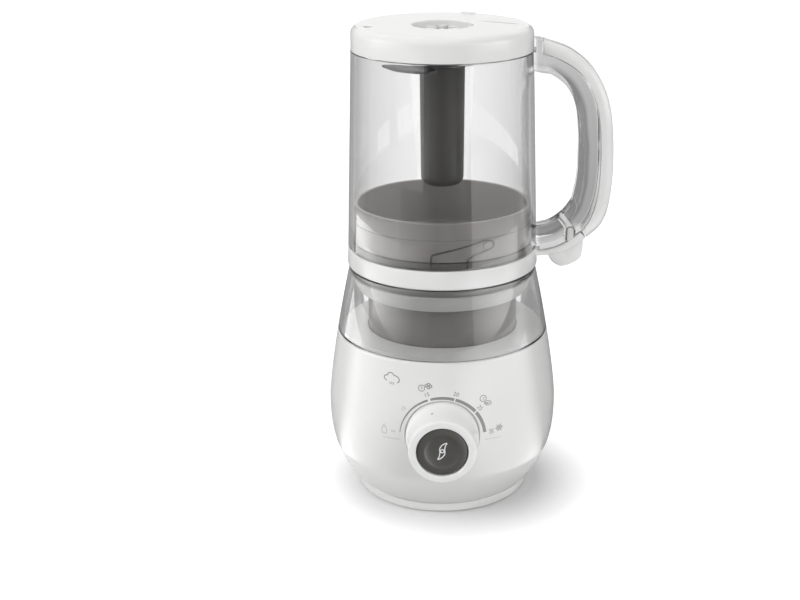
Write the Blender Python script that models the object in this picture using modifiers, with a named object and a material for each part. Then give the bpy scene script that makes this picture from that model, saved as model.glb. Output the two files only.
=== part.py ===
"""Baby food maker: a clear steaming jar standing mouth down on its motor base, as separate parts.

Metres, +Z up. The origin is on the jar's axis at the table, +X points to the handle and -Y to the knob.
"""

import math

import bmesh
import bpy
from mathutils import Matrix, Vector

# Gaps between pieces: touching, and turning past each other
GAP = 0.0003
RUN = 0.0005
UP = Vector((0, 0, 1))

# Facets round a turned piece, by the piece's size
LARGE = 32
MIDDLE = 24
SMALL = 16
TINY = 12

# Base: an egg shape from the table edge through the belly to the collar's rim
BODY_BOTTOM = 0.0066
BODY_FOOT_R = 0.0538
BELLY_Z = 0.0576
BELLY_R = 0.0698
LOWER_CURVE = 2.8
UPPER_CURVE = 1.32
BODY_TOP = 0.1018
BODY_WALL = 0.0026
FLANGE_TOP = 0.0106
FLANGE_HOLE_R = 0.0380
DECK_UNDER = 0.0990
DECK_HOLE_R = 0.0400
OUTLINE_SPANS = 9
INNER_SPANS = 5

# Base plate, rubber feet and screws
PLATE_R = 0.0529
PLATE_UNDER = 0.0008
PLATE_TOP = 0.0060
PLATE_EDGE = 0.0010
PLATE_RIM_WALL = 0.0025
PLATE_RIM_TOP = 0.0096
FOOT_R = 0.0060
FOOT_RECESS = 0.0014
FOOT_CIRCLE_R = 0.0410
SCREW_CIRCLE_R = 0.0445
SCREW_DEG = 11.0
SCREW_HEAD_R = 0.0031
SCREW_SHANK_R = 0.0013
SCREW_UNDER = 0.0028
SCREW_HEAD_SEAT = 0.0048

# Water tank collar, inner tower and seat ring
COLLAR_TOP = 0.1410
COLLAR_TOP_R = 0.0561
COLLAR_WALL = 0.0024
TANK_FLOOR = 0.0021
TOWER_R = 0.0450
TOWER_TOP = 0.1276
TOWER_WALL = 0.0025
TOWER_BORE_R = 0.0072
SHAFT_SEAL_R = 0.0088
SHAFT_SEAL_END = 0.1242
SEAT_TOP = 0.1378
SEAT_BEND_Z = 0.1347
SEAT_TOP_R = 0.0539
SEAT_FLOOR_R = 0.0502
SEAT_INNER_R = 0.0432
SEAT_WALL = 0.0020

# Knob and button, on an axis that points out of the front
KNOB_Z = 0.0579
POCKET_Y = -0.0644
POCKET_R = 0.0217
KNOB_SKIRT_R = 0.0213
KNOB_FRONT_R = 0.0193
KNOB_DEPTH = 0.0254
KNOB_WAIST = ((0.0194, 0.0220), (0.0196, 0.0155), (0.0201, 0.0100), (0.0208, 0.0068))
KNOB_SKIRT_TOP = 0.0052
KNOB_WEB_UNDER = 0.0078
KNOB_WEB_TOP = 0.0106
BUTTON_R = 0.0144
BUTTON_DISH = ((0.0, 0.0229), (0.0055, 0.0231), (0.0090, 0.0238), (0.0104, 0.0246), (0.0134, 0.0245))
BUTTON_EDGE = 0.0236
BUTTON_SKIRT = 0.0140
BUTTON_WALL = 0.0022
BUTTON_UNDER = 0.0205
HUB_R = 0.0070
HUB_END = -0.0130
STEM_R = 0.0034
STEM_END = -0.0175
POCKET_WALL = 0.0018
CUP_BACK_Y = -0.0616
TIMER_HALF = 0.0110
SWITCH_HALF = 0.0030
SWITCH_Y = -0.0435
BOARD_Y = -0.0392
BOARD_THICK = 0.0016
BOARD_HALF_X = 0.0280
BOARD_BELOW = 0.0180
BOARD_ABOVE = 0.0240

# Button spring
SPRING_R = 0.0080
SPRING_WIRE_R = 0.0006
SPRING_CLEAR = 0.0010
SPRING_TURNS = 4
POINTS_PER_TURN = 10

# Motor, on the jar's axis
SHAFT_R = 0.0030
BRACKET_R = 0.0460
BRACKET_TOP = DECK_UNDER - GAP
CAN_R = 0.0235
CAN_TOP = 0.0957
CAN_BOTTOM = 0.0516
CAN_WALL = 0.0015
END_CAP_THICK = 0.0035
BUSH_R = 0.0054
BUSH_LENGTH = 0.0060
UPPER_BUSH_Z = 0.0921
LOWER_BUSH_Z = 0.0476
FIELD_LOW = 0.0616
FIELD_HIGH = 0.0866
FIELD_BORE_R = 0.0170
ARMATURE_R = 0.0158
SHAFT_LOW = 0.0461
SHAFT_HIGH = 0.1331
COUPLING_R = 0.0095
COUPLING_LOW = 0.1296
COUPLING_HIGH = 0.1406
SOCKET_R = 0.0060
SLOT_HALF = 0.0016
SLOT_REACH = 0.0140

# Boiler and its pipes, behind the motor
BOILER_LOW = (-0.018, 0.035, 0.0346)
BOILER_HIGH = (0.018, 0.055, 0.0646)
NOZZLE_Y = 0.0300
OUTLET_Y = 0.0530
PIPE_R = 0.0032
ELEMENT_R = 0.0030
ELEMENT_BEND = (
    (-0.012, 0.034), (-0.012, 0.046), (-0.009, 0.050), (0.009, 0.050), (0.012, 0.046), (0.012, 0.034),
)
THERMOSTAT_R = 0.0065
THERMOSTAT_THICK = 0.0040
NOZZLE_LOW = 0.1206
NOZZLE_HIGH = 0.1316
NOZZLE_R = 0.0041
NOZZLE_HEAD_R = 0.0068
NOZZLE_BORE_R = 0.0020

# Cord gland, low at the back
GLAND_Z = 0.0196
GLAND_R = 0.0055
GLAND_BORE_R = 0.0040
GLAND_FLANGE_R = 0.0064
GLAND_INNER_Y = 0.0525
GLAND_FLANGE_Y = 0.0542
GLAND_OUTER_Y = 0.0660

# Jar: a slightly tapered clear wall
JAR_MOUTH_Z = 0.1546
JAR_MOUTH_R = 0.0565
JAR_SEAM_Z = 0.2706
JAR_SEAM_R = 0.0527
JAR_WALL = 0.0025
JAR_FLOOR = 0.0025
JAR_FILLET = 0.0030
JAR_BUSH_HOLE_R = 0.0093

# Cap over the jar's floor, with the coupling well
CAP_R = 0.05255
CAP_TOP = 0.2846
CAP_EDGE_R = 0.0045
CAP_WALL = 0.0024
CAP_ROOF = 0.0028
WELL_R = 0.0175
WELL_FLOOR = 0.2746
WELL_WALL = 0.0025
WELL_HOLE_R = 0.0066
LUG_TOP = 0.2858
LUG_CIRCLE_R = 0.0452
LUG_DEG = 70.0
LUG_HALF = (0.0045, 0.0014)
DIMPLE_CIRCLE_R = 0.0436
DIMPLE_DEG = -166.5
DIMPLE_R = 0.0028
DIMPLE_DEPTH = 0.0007

# Handle outlines in the X-Z plane, and its half width along Y
HANDLE_HALF = 0.0097
SPINE_HALF = 0.0099
SPINE_ROUND = 0.0052
GRIP_ROUND = 0.0040
HANDLE_ROOT_X = 0.0400
HANDLE_STUB = ((0.0400, 0.2702), (0.0532, 0.2702), (0.0532, 0.2765), (0.0574, 0.2762), (0.0574, 0.2688))
HANDLE_FOOT_Z = 0.1550
SPINE_CREST = (
    (0.0577, 0.2768), (0.0750, 0.2702), (0.0893, 0.2569), (0.0976, 0.2366),
    (0.1004, 0.2066), (0.0988, 0.1816), (0.0945, 0.1681), (0.0862, 0.1596),
)
SPINE_SEAT = (
    (0.0577, 0.2696), (0.0690, 0.2652), (0.0795, 0.2576), (0.0873, 0.2451), (0.0913, 0.2296),
    (0.0926, 0.2066), (0.0913, 0.1846), (0.0878, 0.1721), (0.0828, 0.1643),
)
FINGER_HOLE = (
    (0.0450, 0.1641), (0.0625, 0.1676), (0.0713, 0.1734), (0.0772, 0.1826), (0.0795, 0.1966),
    (0.0795, 0.2216), (0.0773, 0.2381), (0.0717, 0.2494), (0.0628, 0.2562), (0.0450, 0.2601),
)

# Lid: cup inside the jar mouth, ring outside it, lever under the handle
CUP_R = 0.0524
CUP_TOP = 0.1816
CUP_IN_R = 0.0500
CUP_FLOOR_TOP = 0.1539
CUP_FLOOR_UNDER = 0.1514
CUP_STEP_Z = 0.1586
STEAM_HOLE_R = 0.0060
LID_BODY_R = 0.0505
LID_BODY_UNDER = 0.1496
SPIGOT_R = 0.0478
SPIGOT_IN_R = 0.0453
SPIGOT_BOTTOM = 0.1302
RING_TOP = 0.1543
RING_BOTTOM = 0.1432
RING_TOP_R = 0.0565
RING_BOTTOM_R = 0.0570
RING_SKIRT_R = 0.0546
RING_WEB_UNDER = 0.1520
SEAL_R = 0.0533
SEAL_TOP = 0.1583
STRAINER_R = 0.0220
STRAINER_TOP = 0.1606
STRAINER_WALL = 0.0018
WINDOW_LOW = (-0.0250, -0.0030, 0.1552)
WINDOW_HIGH = (0.0250, 0.0030, 0.1578)
LOCK_LUG_Z = 0.1671
LOCK_LUG_DEG = -60.6
LOCK_LUG_R = 0.0028
LOCK_LUG_OUT = 0.0007
LEVER_HALF = 0.0095
LEVER_CLEAR = 0.0009
LEVER_TOP = (
    (0.0552, 0.1520), (0.0600, 0.1522), (0.0665, 0.1538), (0.0713, 0.1558), (0.0755, 0.1585), (0.0818, 0.1634),
)
LEVER_UNDER = (
    (0.0552, 0.1488), (0.0620, 0.1493), (0.0680, 0.1506), (0.0750, 0.1532), (0.0815, 0.1570), (0.0851, 0.1600),
)
TAB_HALF = 0.0080
TAB_OUTLINE = (
    (0.0626, 0.1498), (0.0652, 0.1454), (0.0685, 0.1427), (0.0720, 0.1418), (0.0775, 0.1436),
    (0.0822, 0.1468), (0.0834, 0.1501), (0.0834, 0.1588), (0.0760, 0.1551), (0.0670, 0.1521),
)
TONGUE_LOW = (0.0741, -0.0090, 0.1566)
TONGUE_HIGH = (0.0780, 0.0040, 0.1664)
TONGUE_CLEAR = 0.0010

# Blade unit
COLUMN_TOP = 0.2678
COLUMN_END = 0.1916
COLUMN_R = 0.0131
COLUMN_END_R = 0.0126
COLUMN_SOCKET_R = 0.0096
COLUMN_SOCKET_TOP = 0.2624
BLADE_BUSH_R = 0.0090
BLADE_BUSH_LOW = 0.2642
BLADE_BUSH_HIGH = 0.2718
SHAFT_SEAL_LOW = 0.2629
BLADE_SHAFT_LOW = 0.2376
BLADE_SHAFT_HIGH = 0.2775
DRIVEN_R = 0.0100
DRIVEN_HIGH = 0.2828
DRIVEN_SOCKET_R = 0.0040
BLADE_UPPER_Z = 0.2658
BLADE_LOWER_Z = 0.2640
BLADE_RING_R = 0.0175
BLADE_HALF_THICK = 0.0006
BLADE_DEG = -130.0
WING = (
    (0.0205, -0.0065), (0.0262, -0.0120), (0.0322, -0.0171), (0.0353, -0.0135), (0.0384, -0.0075),
    (0.0421, 0.0015), (0.0422, 0.0090), (0.0402, 0.0163), (0.0375, 0.0217), (0.0279, 0.0196), (0.0225, 0.0120),
)


def clear_scene():
    for obj in list(bpy.data.objects):
        bpy.data.objects.remove(obj)


def new_collection(name):
    collection = bpy.data.collections.new(name)
    bpy.context.scene.collection.children.link(collection)
    return collection


def finish(name, colour, roughness, metallic=0.0, alpha=1.0):
    """A Principled material in the part's own colour."""
    material = bpy.data.materials.new(name)
    material.use_nodes = True
    shader = material.node_tree.nodes["Principled BSDF"]
    shader.inputs["Base Color"].default_value = (*colour, 1.0)
    shader.inputs["Roughness"].default_value = roughness
    shader.inputs["Metallic"].default_value = metallic
    shader.inputs["Alpha"].default_value = alpha
    return material


def frame_empty(name, parent=None, location=(0, 0, 0), rotation=(0, 0, 0)):
    """An empty that carries the pieces of one moving group, on that group's axis."""
    empty = bpy.data.objects.new(name, None)
    empty.location = location
    empty.rotation_euler = rotation
    empty.parent = parent
    PARTS.objects.link(empty)
    return empty


def place(name, mesh, material, parent):
    """Links a mesh as a part, or as a hidden cutter when it has no material."""
    obj = bpy.data.objects.new(name, mesh)
    obj.parent = parent
    if material is None:
        CUTTERS.objects.link(obj)
        obj.hide_render = True
        obj.display_type = "WIRE"
    else:
        PARTS.objects.link(obj)
        mesh.materials.append(material)
    return obj


def turned(name, profile, material=None, parent=None, steps=LARGE):
    """A turned shape: profile points (radius, height) run down the outer side and back up the inner."""
    edges = [(i, i + 1) for i in range(len(profile) - 1)]
    if profile[0][0] > 0:
        edges.append((len(profile) - 1, 0))
    mesh = bpy.data.meshes.new(name)
    mesh.from_pydata([(radius, 0.0, height) for radius, height in profile], edges, [])
    obj = place(name, mesh, material, parent)
    turn = obj.modifiers.new("Turn", "SCREW")
    turn.steps = turn.render_steps = steps
    turn.use_merge_vertices = True
    turn.merge_threshold = 0.00001
    return obj


def box(name, low, high, material=None, parent=None, edge=0.0):
    """A block between two corners, with bevelled edges where an edge radius is given."""
    low, high = Vector(low), Vector(high)
    bm = bmesh.new()
    size = Matrix.Diagonal((*(high - low), 1.0))
    bmesh.ops.create_cube(bm, size=1.0, matrix=Matrix.Translation((low + high) / 2) @ size)
    mesh = bpy.data.meshes.new(name)
    bm.to_mesh(mesh)
    bm.free()
    obj = place(name, mesh, material, parent)
    if edge:
        bevel = obj.modifiers.new("Edges", "BEVEL")
        bevel.width = edge
        bevel.segments = 2
    return obj


def rod(name, start, end, radius, material=None, parent=None, sides=24, edge=0.0):
    """A cylinder from start to end."""
    start, end = Vector(start), Vector(end)
    along = end - start
    turn = along.to_track_quat("Z", "Y").to_matrix().to_4x4()
    bm = bmesh.new()
    bmesh.ops.create_cone(
        bm, cap_ends=True, segments=sides, radius1=radius, radius2=radius, depth=along.length,
        matrix=Matrix.Translation((start + end) / 2) @ turn,
    )
    mesh = bpy.data.meshes.new(name)
    bm.to_mesh(mesh)
    bm.free()
    obj = place(name, mesh, material, parent)
    if edge:
        bevel = obj.modifiers.new("Edges", "BEVEL")
        bevel.width = edge
        bevel.segments = 1
        bevel.limit_method = "ANGLE"
    return obj


def front_rod(name, start_y, end_y, radius, sides):
    """A cutter on the knob's axis."""
    return rod(name, (0, start_y, KNOB_Z), (0, end_y, KNOB_Z), radius, sides=sides)


def tube(name, points, radius, material, parent, resolution=2):
    """A round tube along the points."""
    curve = bpy.data.curves.new(name, "CURVE")
    curve.dimensions = "3D"
    curve.bevel_depth = radius
    curve.bevel_resolution = resolution
    curve.use_fill_caps = True
    spline = curve.splines.new("POLY")
    spline.points.add(len(points) - 1)
    for target, point in zip(spline.points, points):
        target.co = (*point, 1.0)
    return place(name, curve, material, parent)


def flat_outline(name, outlines, half_thick, material=None, parent=None, upright=True):
    """A flat outline with thickness, as a mesh. Upright outlines lie in the X-Z plane, others in X-Y."""
    curve = bpy.data.curves.new(name, "CURVE")
    curve.dimensions = "2D"
    curve.fill_mode = "BOTH"
    curve.extrude = half_thick
    for outline in outlines:
        spline = curve.splines.new("POLY")
        spline.points.add(len(outline) - 1)
        for target, point in zip(spline.points, outline):
            target.co = (*point, 0.0, 1.0)
        spline.use_cyclic_u = True
    guide = bpy.data.objects.new(name + "_guide", curve)
    CUTTERS.objects.link(guide)
    if upright:
        guide.rotation_euler = (math.radians(90), 0, 0)
    bpy.context.view_layer.update()
    evaluated = guide.evaluated_get(bpy.context.evaluated_depsgraph_get())
    mesh = bpy.data.meshes.new_from_object(evaluated)
    mesh.transform(guide.matrix_world)
    bpy.data.objects.remove(guide)
    bm = bmesh.new()
    bm.from_mesh(mesh)
    bmesh.ops.remove_doubles(bm, verts=bm.verts, dist=0.000001)
    bmesh.ops.dissolve_limit(bm, angle_limit=math.radians(0.05), verts=bm.verts, edges=bm.edges)
    bmesh.ops.recalc_face_normals(bm, faces=bm.faces)
    bm.to_mesh(mesh)
    bm.free()
    mesh.materials.clear()
    return place(name, mesh, material, parent)


def round_run(obj, run, half, radius, segments):
    """Rounds the front and back edges of an upright outline along one run of its points."""
    on_run = {(round(x, 6), round(z, 6)) for x, z in run}

    def listed(vert):
        flat = abs(abs(vert.co.y) - half) < 0.000001
        return flat and (round(vert.co.x, 6), round(vert.co.z, 6)) in on_run

    bm = bmesh.new()
    bm.from_mesh(obj.data)
    edges = [e for e in bm.edges if all(listed(v) for v in e.verts) and e.verts[0].co.y * e.verts[1].co.y > 0]
    bmesh.ops.bevel(bm, geom=edges, offset=radius, segments=segments, profile=0.5, affect="EDGES")
    bm.to_mesh(obj.data)
    bm.free()


def combine(obj, other, operation):
    modifier = obj.modifiers.new(other.name, "BOOLEAN")
    modifier.operation = operation
    modifier.solver = "EXACT"
    modifier.object = other
    return obj


def cut(obj, *cutters):
    for cutter in cutters:
        combine(obj, cutter, "DIFFERENCE")
    return obj


def join(obj, *others):
    for other in others:
        combine(obj, other, "UNION")
    return obj


def spread(start, end, count, bias=1.0):
    """Evenly or unevenly spaced values from start to end, closer together near start when bias is over 1."""
    return [start + (end - start) * (i / count) ** bias for i in range(count + 1)]


def smooth(points, per_span=3):
    """A Catmull-Rom curve through the points, each point kept."""
    ends = [points[0], *points, points[-1]]
    curve = []
    for a, b, c, d in zip(ends, ends[1:], ends[2:], ends[3:]):
        a, b, c, d = Vector(a), Vector(b), Vector(c), Vector(d)
        for i in range(per_span):
            t = i / per_span
            point = b + (c - a) * t / 2 + (a - 2.5 * b + 2 * c - d / 2) * t ** 2
            curve.append(tuple(point + (1.5 * (b - c) + (d - a) / 2) * t ** 3))
    return curve + [tuple(points[-1])]


def offset(points, distance):
    """The run of points moved sideways to its left by the distance."""
    moved = []
    for i, point in enumerate(points):
        before = Vector(points[max(i - 1, 0)])
        after = Vector(points[min(i + 1, len(points) - 1)])
        along = (after - before).normalized()
        moved.append((point[0] - along.y * distance, point[1] + along.x * distance))
    return moved


def around(radius, degrees, height=0.0):
    angle = math.radians(degrees)
    return Vector((radius * math.cos(angle), radius * math.sin(angle), height))


def egg_radius(z):
    """Outer radius of the base: a full curve below the belly, a slower one up to the collar's rim."""
    if z < BELLY_Z:
        fall = (BELLY_Z - z) / (BELLY_Z - BODY_BOTTOM)
        return BELLY_R - (BELLY_R - BODY_FOOT_R) * fall ** LOWER_CURVE
    rise = (z - BELLY_Z) / (COLLAR_TOP - BELLY_Z)
    return BELLY_R - (BELLY_R - COLLAR_TOP_R) * rise ** UPPER_CURVE


def jar_radius(z):
    """Outer radius of the jar's tapered wall."""
    return JAR_MOUTH_R + (JAR_SEAM_R - JAR_MOUTH_R) * (z - JAR_MOUTH_Z) / (JAR_SEAM_Z - JAR_MOUTH_Z)


def base_housing(parent):
    """White shell with a deck on top, a flange at the bottom and a sunk seat for the knob."""
    heights = spread(BODY_BOTTOM, BODY_TOP, OUTLINE_SPANS, 1.3)
    outer = [(egg_radius(z), z) for z in reversed(heights)]
    inner = [(egg_radius(z) - BODY_WALL, z) for z in spread(FLANGE_TOP, DECK_UNDER, INNER_SPANS)]
    flange = [(FLANGE_HOLE_R, BODY_BOTTOM), (FLANGE_HOLE_R, FLANGE_TOP)]
    deck = [(DECK_HOLE_R, DECK_UNDER), (DECK_HOLE_R, BODY_TOP)]
    housing = turned("base_housing", outer + flange + inner + deck, WHITE, parent, LARGE)

    middle = BODY_WALL / 2
    low, high = BODY_BOTTOM + middle, BODY_TOP - middle
    core = [(egg_radius(z) - middle, z) for z in spread(high, low, INNER_SPANS)]
    cup = front_rod("knob_cup", -BELLY_R - GAP, CUP_BACK_Y, POCKET_R + POCKET_WALL, MIDDLE)
    combine(cup, turned("egg_core", [(0.0, high)] + core + [(0.0, low)], steps=LARGE), "INTERSECT")
    join(housing, cup)

    inside, outside = BELLY_R - 0.0200, BELLY_R + 0.0100
    under_deck, over_deck = (0, OUTLET_Y, DECK_UNDER - 0.0050), (0, OUTLET_Y, BODY_TOP + 0.0050)
    cut(
        housing,
        front_rod("knob_pocket", -outside, POCKET_Y, POCKET_R, LARGE),
        front_rod("hub_hole", -BELLY_R, -inside, HUB_R + RUN, SMALL),
        rod("gland_hole", (0, inside, GLAND_Z), (0, outside, GLAND_Z), GLAND_R + GAP, sides=SMALL),
        rod("outlet_hole", under_deck, over_deck, PIPE_R + 0.0010, sides=TINY),
    )
    for i in range(4):
        spot = around(SCREW_CIRCLE_R, SCREW_DEG + 90 * i)
        top = spot + UP * (FLANGE_TOP + 0.0030)
        cut(housing, rod(f"flange_hole_{i + 1}", spot, top, SCREW_SHANK_R + GAP, sides=8))


def base_plate(parent):
    """Bottom plate with a rim that centres it in the housing's flange."""
    rim_r = FLANGE_HOLE_R - RUN
    top = [(0.0, PLATE_TOP), (rim_r - PLATE_RIM_WALL, PLATE_TOP)]
    rim = [(rim_r - PLATE_RIM_WALL, PLATE_RIM_TOP), (rim_r, PLATE_RIM_TOP), (rim_r, PLATE_TOP)]
    edge = [(PLATE_R, PLATE_TOP), (PLATE_R, PLATE_UNDER + PLATE_EDGE), (PLATE_R - PLATE_EDGE, PLATE_UNDER)]
    return turned("base_plate", top + rim + edge + [(0.0, PLATE_UNDER)], WHITE, parent, LARGE)


def feet_and_screws(plate, parent):
    """Rubber feet in recesses on the diagonals, countersunk plate screws between them."""
    below = UP * -0.0020
    recess = PLATE_UNDER + FOOT_RECESS
    head_top = SCREW_HEAD_SEAT - GAP
    screw = [
        (0.0, FLANGE_TOP - 0.0006), (SCREW_SHANK_R, FLANGE_TOP - 0.0012), (SCREW_SHANK_R, head_top),
        (SCREW_HEAD_R, head_top), (SCREW_HEAD_R, SCREW_UNDER), (0.0, SCREW_UNDER),
    ]
    for i in range(4):
        spot = around(FOOT_CIRCLE_R, 45 + 90 * i)
        cut(plate, rod(f"foot_recess_{i + 1}", spot + below, spot + UP * recess, FOOT_R + GAP, sides=SMALL))
        rod(f"foot_{i + 1}", spot, spot + UP * (recess - GAP), FOOT_R, RUBBER, parent, SMALL, edge=0.0005)
        spot = around(SCREW_CIRCLE_R, SCREW_DEG + 90 * i)
        head_end, hole_end = spot + UP * SCREW_HEAD_SEAT, spot + UP * (PLATE_TOP + 0.0020)
        cut(
            plate,
            rod(f"head_recess_{i + 1}", spot + below, head_end, SCREW_HEAD_R + GAP, sides=TINY),
            rod(f"shank_hole_{i + 1}", spot, hole_end, SCREW_SHANK_R + GAP, sides=8),
        )
        turned(f"plate_screw_{i + 1}", screw, STEEL, parent, TINY).location = spot


def water_tank(parent):
    """Clear collar with its own floor, grey tower inside it, seat ring between them."""
    bottom = BODY_TOP + GAP
    floor = bottom + TANK_FLOOR
    outer = [(egg_radius(z), z) for z in spread(COLLAR_TOP, bottom, 3)]
    ring = [(TOWER_R + 2 * GAP, bottom), (TOWER_R + 2 * GAP, floor)]
    inner = [(egg_radius(z) - COLLAR_WALL, z) for z in spread(floor, COLLAR_TOP, 2)]
    collar = turned("tank_collar", outer + ring + inner, CLEAR, parent, LARGE)
    hole_low, hole_high = (0, OUTLET_Y, bottom - 0.0050), (0, OUTLET_Y, floor + 0.0050)
    cut(collar, rod("tank_outlet", hole_low, hole_high, PIPE_R - 0.0010, sides=8))

    deck_under = TOWER_TOP - TOWER_WALL
    tower = turned(
        "inner_tower",
        [
            (TOWER_R - 0.0008, TOWER_TOP), (TOWER_R, TOWER_TOP - 0.0008), (TOWER_R, bottom),
            (TOWER_R - TOWER_WALL, bottom), (TOWER_R - TOWER_WALL, deck_under),
            (TOWER_BORE_R, deck_under), (TOWER_BORE_R, TOWER_TOP),
        ],
        GREY, parent, LARGE,
    )
    hole_low, hole_high = (0, NOZZLE_Y, deck_under - 0.0050), (0, NOZZLE_Y, TOWER_TOP + 0.0050)
    cut(tower, rod("nozzle_hole", hole_low, hole_high, NOZZLE_R + GAP, sides=SMALL))

    lip_low, lip_high = TOWER_TOP + GAP, TOWER_TOP + 0.0010
    plug_r = TOWER_BORE_R - GAP
    turned(
        "tower_shaft_seal",
        [
            (SHAFT_SEAL_R, lip_high), (SHAFT_SEAL_R, lip_low), (plug_r, lip_low), (plug_r, SHAFT_SEAL_END),
            (SHAFT_R + RUN, SHAFT_SEAL_END), (SHAFT_R + RUN, lip_high),
        ],
        RUBBER, parent, SMALL,
    )
    turned(
        "seat_ring",
        [
            (SEAT_TOP_R, SEAT_TOP), (SEAT_TOP_R - 0.0005, SEAT_BEND_Z), (SEAT_FLOOR_R, lip_low),
            (SEAT_INNER_R, lip_low), (SEAT_INNER_R, lip_low + SEAT_WALL),
            (SEAT_FLOOR_R - SEAT_WALL, lip_low + SEAT_WALL),
            (SEAT_TOP_R - SEAT_WALL - 0.0007, SEAT_BEND_Z), (SEAT_TOP_R - SEAT_WALL, SEAT_TOP),
        ],
        PALE, parent, LARGE,
    )


def motor(base, rotor):
    """Motor hung under the deck on its bracket, with the shaft running up through the tower."""
    seat = CAN_TOP + GAP
    hole_r = BUSH_R + GAP
    bore_r = SHAFT_R + RUN
    bracket = turned(
        "motor_bracket",
        [(BRACKET_R, BRACKET_TOP), (BRACKET_R, seat), (hole_r, seat), (hole_r, BRACKET_TOP)],
        STEEL, base, LARGE,
    )
    gap_low, gap_high = (0, NOZZLE_Y, seat - 0.0050), (0, NOZZLE_Y, BRACKET_TOP + 0.0050)
    cut(bracket, rod("steam_gap", gap_low, gap_high, PIPE_R + 0.0015, sides=SMALL))

    inside = CAN_R - CAN_WALL
    roof = CAN_TOP - CAN_WALL
    turned(
        "motor_can",
        [
            (inside, CAN_TOP), (CAN_R, roof), (CAN_R, CAN_BOTTOM), (inside, CAN_BOTTOM), (inside, roof),
            (hole_r, roof), (hole_r, CAN_TOP),
        ],
        STEEL, base, MIDDLE,
    )
    end = CAN_BOTTOM - GAP
    end_low = end - END_CAP_THICK
    turned(
        "motor_end_cap", [(CAN_R, end), (CAN_R, end_low), (hole_r, end_low), (hole_r, end)], DARK, base, MIDDLE,
    )
    field_r = inside - GAP
    turned(
        "motor_field",
        [(field_r, FIELD_HIGH), (field_r, FIELD_LOW), (FIELD_BORE_R, FIELD_LOW), (FIELD_BORE_R, FIELD_HIGH)],
        STEEL, base, MIDDLE,
    )
    for name, low in (("upper_bush", UPPER_BUSH_Z), ("lower_bush", LOWER_BUSH_Z)):
        high = low + BUSH_LENGTH
        turned(name, [(BUSH_R, high), (BUSH_R, low), (bore_r, low), (bore_r, high)], BRONZE, base, SMALL)

    turned(
        "motor_shaft",
        [(0.0, SHAFT_HIGH), (SHAFT_R, SHAFT_HIGH - RUN), (SHAFT_R, SHAFT_LOW + RUN), (0.0, SHAFT_LOW)],
        STEEL, rotor, SMALL,
    )
    low, high = FIELD_LOW + 0.0010, FIELD_HIGH - 0.0010
    fit_r = SHAFT_R + GAP
    winding = [(ARMATURE_R, high), (ARMATURE_R, low), (fit_r, low), (fit_r, high)]
    turned("armature", winding, COPPER, rotor, MIDDLE)
    coupling(
        "drive_coupling", rotor, DARK, COUPLING_R, SOCKET_R,
        low=COUPLING_LOW, shaft_end=SHAFT_HIGH + RUN, socket=COUPLING_HIGH - 0.0045, high=COUPLING_HIGH,
    )


def coupling(name, parent, material, radius, socket_r, low, shaft_end, socket, high):
    """A moulded coupling: a sleeve on the shaft's end, an open socket above it and three crossed slots."""
    fit_r = SHAFT_R + GAP
    body = turned(
        name,
        [
            (0.0, socket), (socket_r, socket), (socket_r, high), (radius, high - RUN), (radius, low),
            (fit_r, low), (fit_r, shaft_end), (0.0, shaft_end),
        ],
        material, parent, SMALL,
    )
    for i in range(3):
        slot_low = (-SLOT_REACH, -SLOT_HALF, socket + 0.0007)
        slot = box(f"{name}_slot_{i + 1}", slot_low, (SLOT_REACH, SLOT_HALF, high + 0.0030))
        slot.rotation_euler = (0, 0, math.radians(60 * i))
        cut(body, slot)


def boiler(parent):
    """Small cast boiler behind the motor, with its element, its thermostat and two pipes."""
    low, high = Vector(BOILER_LOW), Vector(BOILER_HIGH)
    box("boiler", low, high, ALUMINIUM, parent, edge=0.0025)
    element_z = low.z - ELEMENT_R - 0.0010
    tube("heating_element", [(x, y, element_z) for x, y in smooth(ELEMENT_BEND, 2)], ELEMENT_R, STEEL, parent)
    middle = (low + high) / 2
    disc = Vector((high.x + GAP, middle.y, middle.z))
    rod("thermostat", disc, disc + Vector((THERMOSTAT_THICK, 0, 0)), THERMOSTAT_R, DARK, parent, SMALL)

    lip = high.z + GAP
    steam = [
        (0, 0.0410, lip), (0, 0.0405, lip + 0.0107), (0, 0.0335, lip + 0.0207), (0, NOZZLE_Y, lip + 0.0287),
        (0, NOZZLE_Y, NOZZLE_LOW - GAP),
    ]
    tube("steam_pipe", smooth(steam, 2), PIPE_R, SILICONE, parent)
    water = [
        (0, 0.0500, lip), (0, 0.0502, lip + 0.0117), (0, OUTLET_Y, lip + 0.0237), (0, OUTLET_Y, BODY_TOP),
    ]
    tube("water_pipe", smooth(water, 2), PIPE_R, SILICONE, parent)

    seat = TOWER_TOP + GAP
    nozzle = turned(
        "steam_nozzle",
        [
            (NOZZLE_HEAD_R - 0.0018, NOZZLE_HIGH), (NOZZLE_HEAD_R, NOZZLE_HIGH - 0.0015), (NOZZLE_HEAD_R, seat),
            (NOZZLE_R, seat), (NOZZLE_R, NOZZLE_LOW), (NOZZLE_BORE_R, NOZZLE_LOW), (NOZZLE_BORE_R, NOZZLE_HIGH),
        ],
        PALE, parent, SMALL,
    )
    nozzle.location = (0, NOZZLE_Y, 0)


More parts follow.
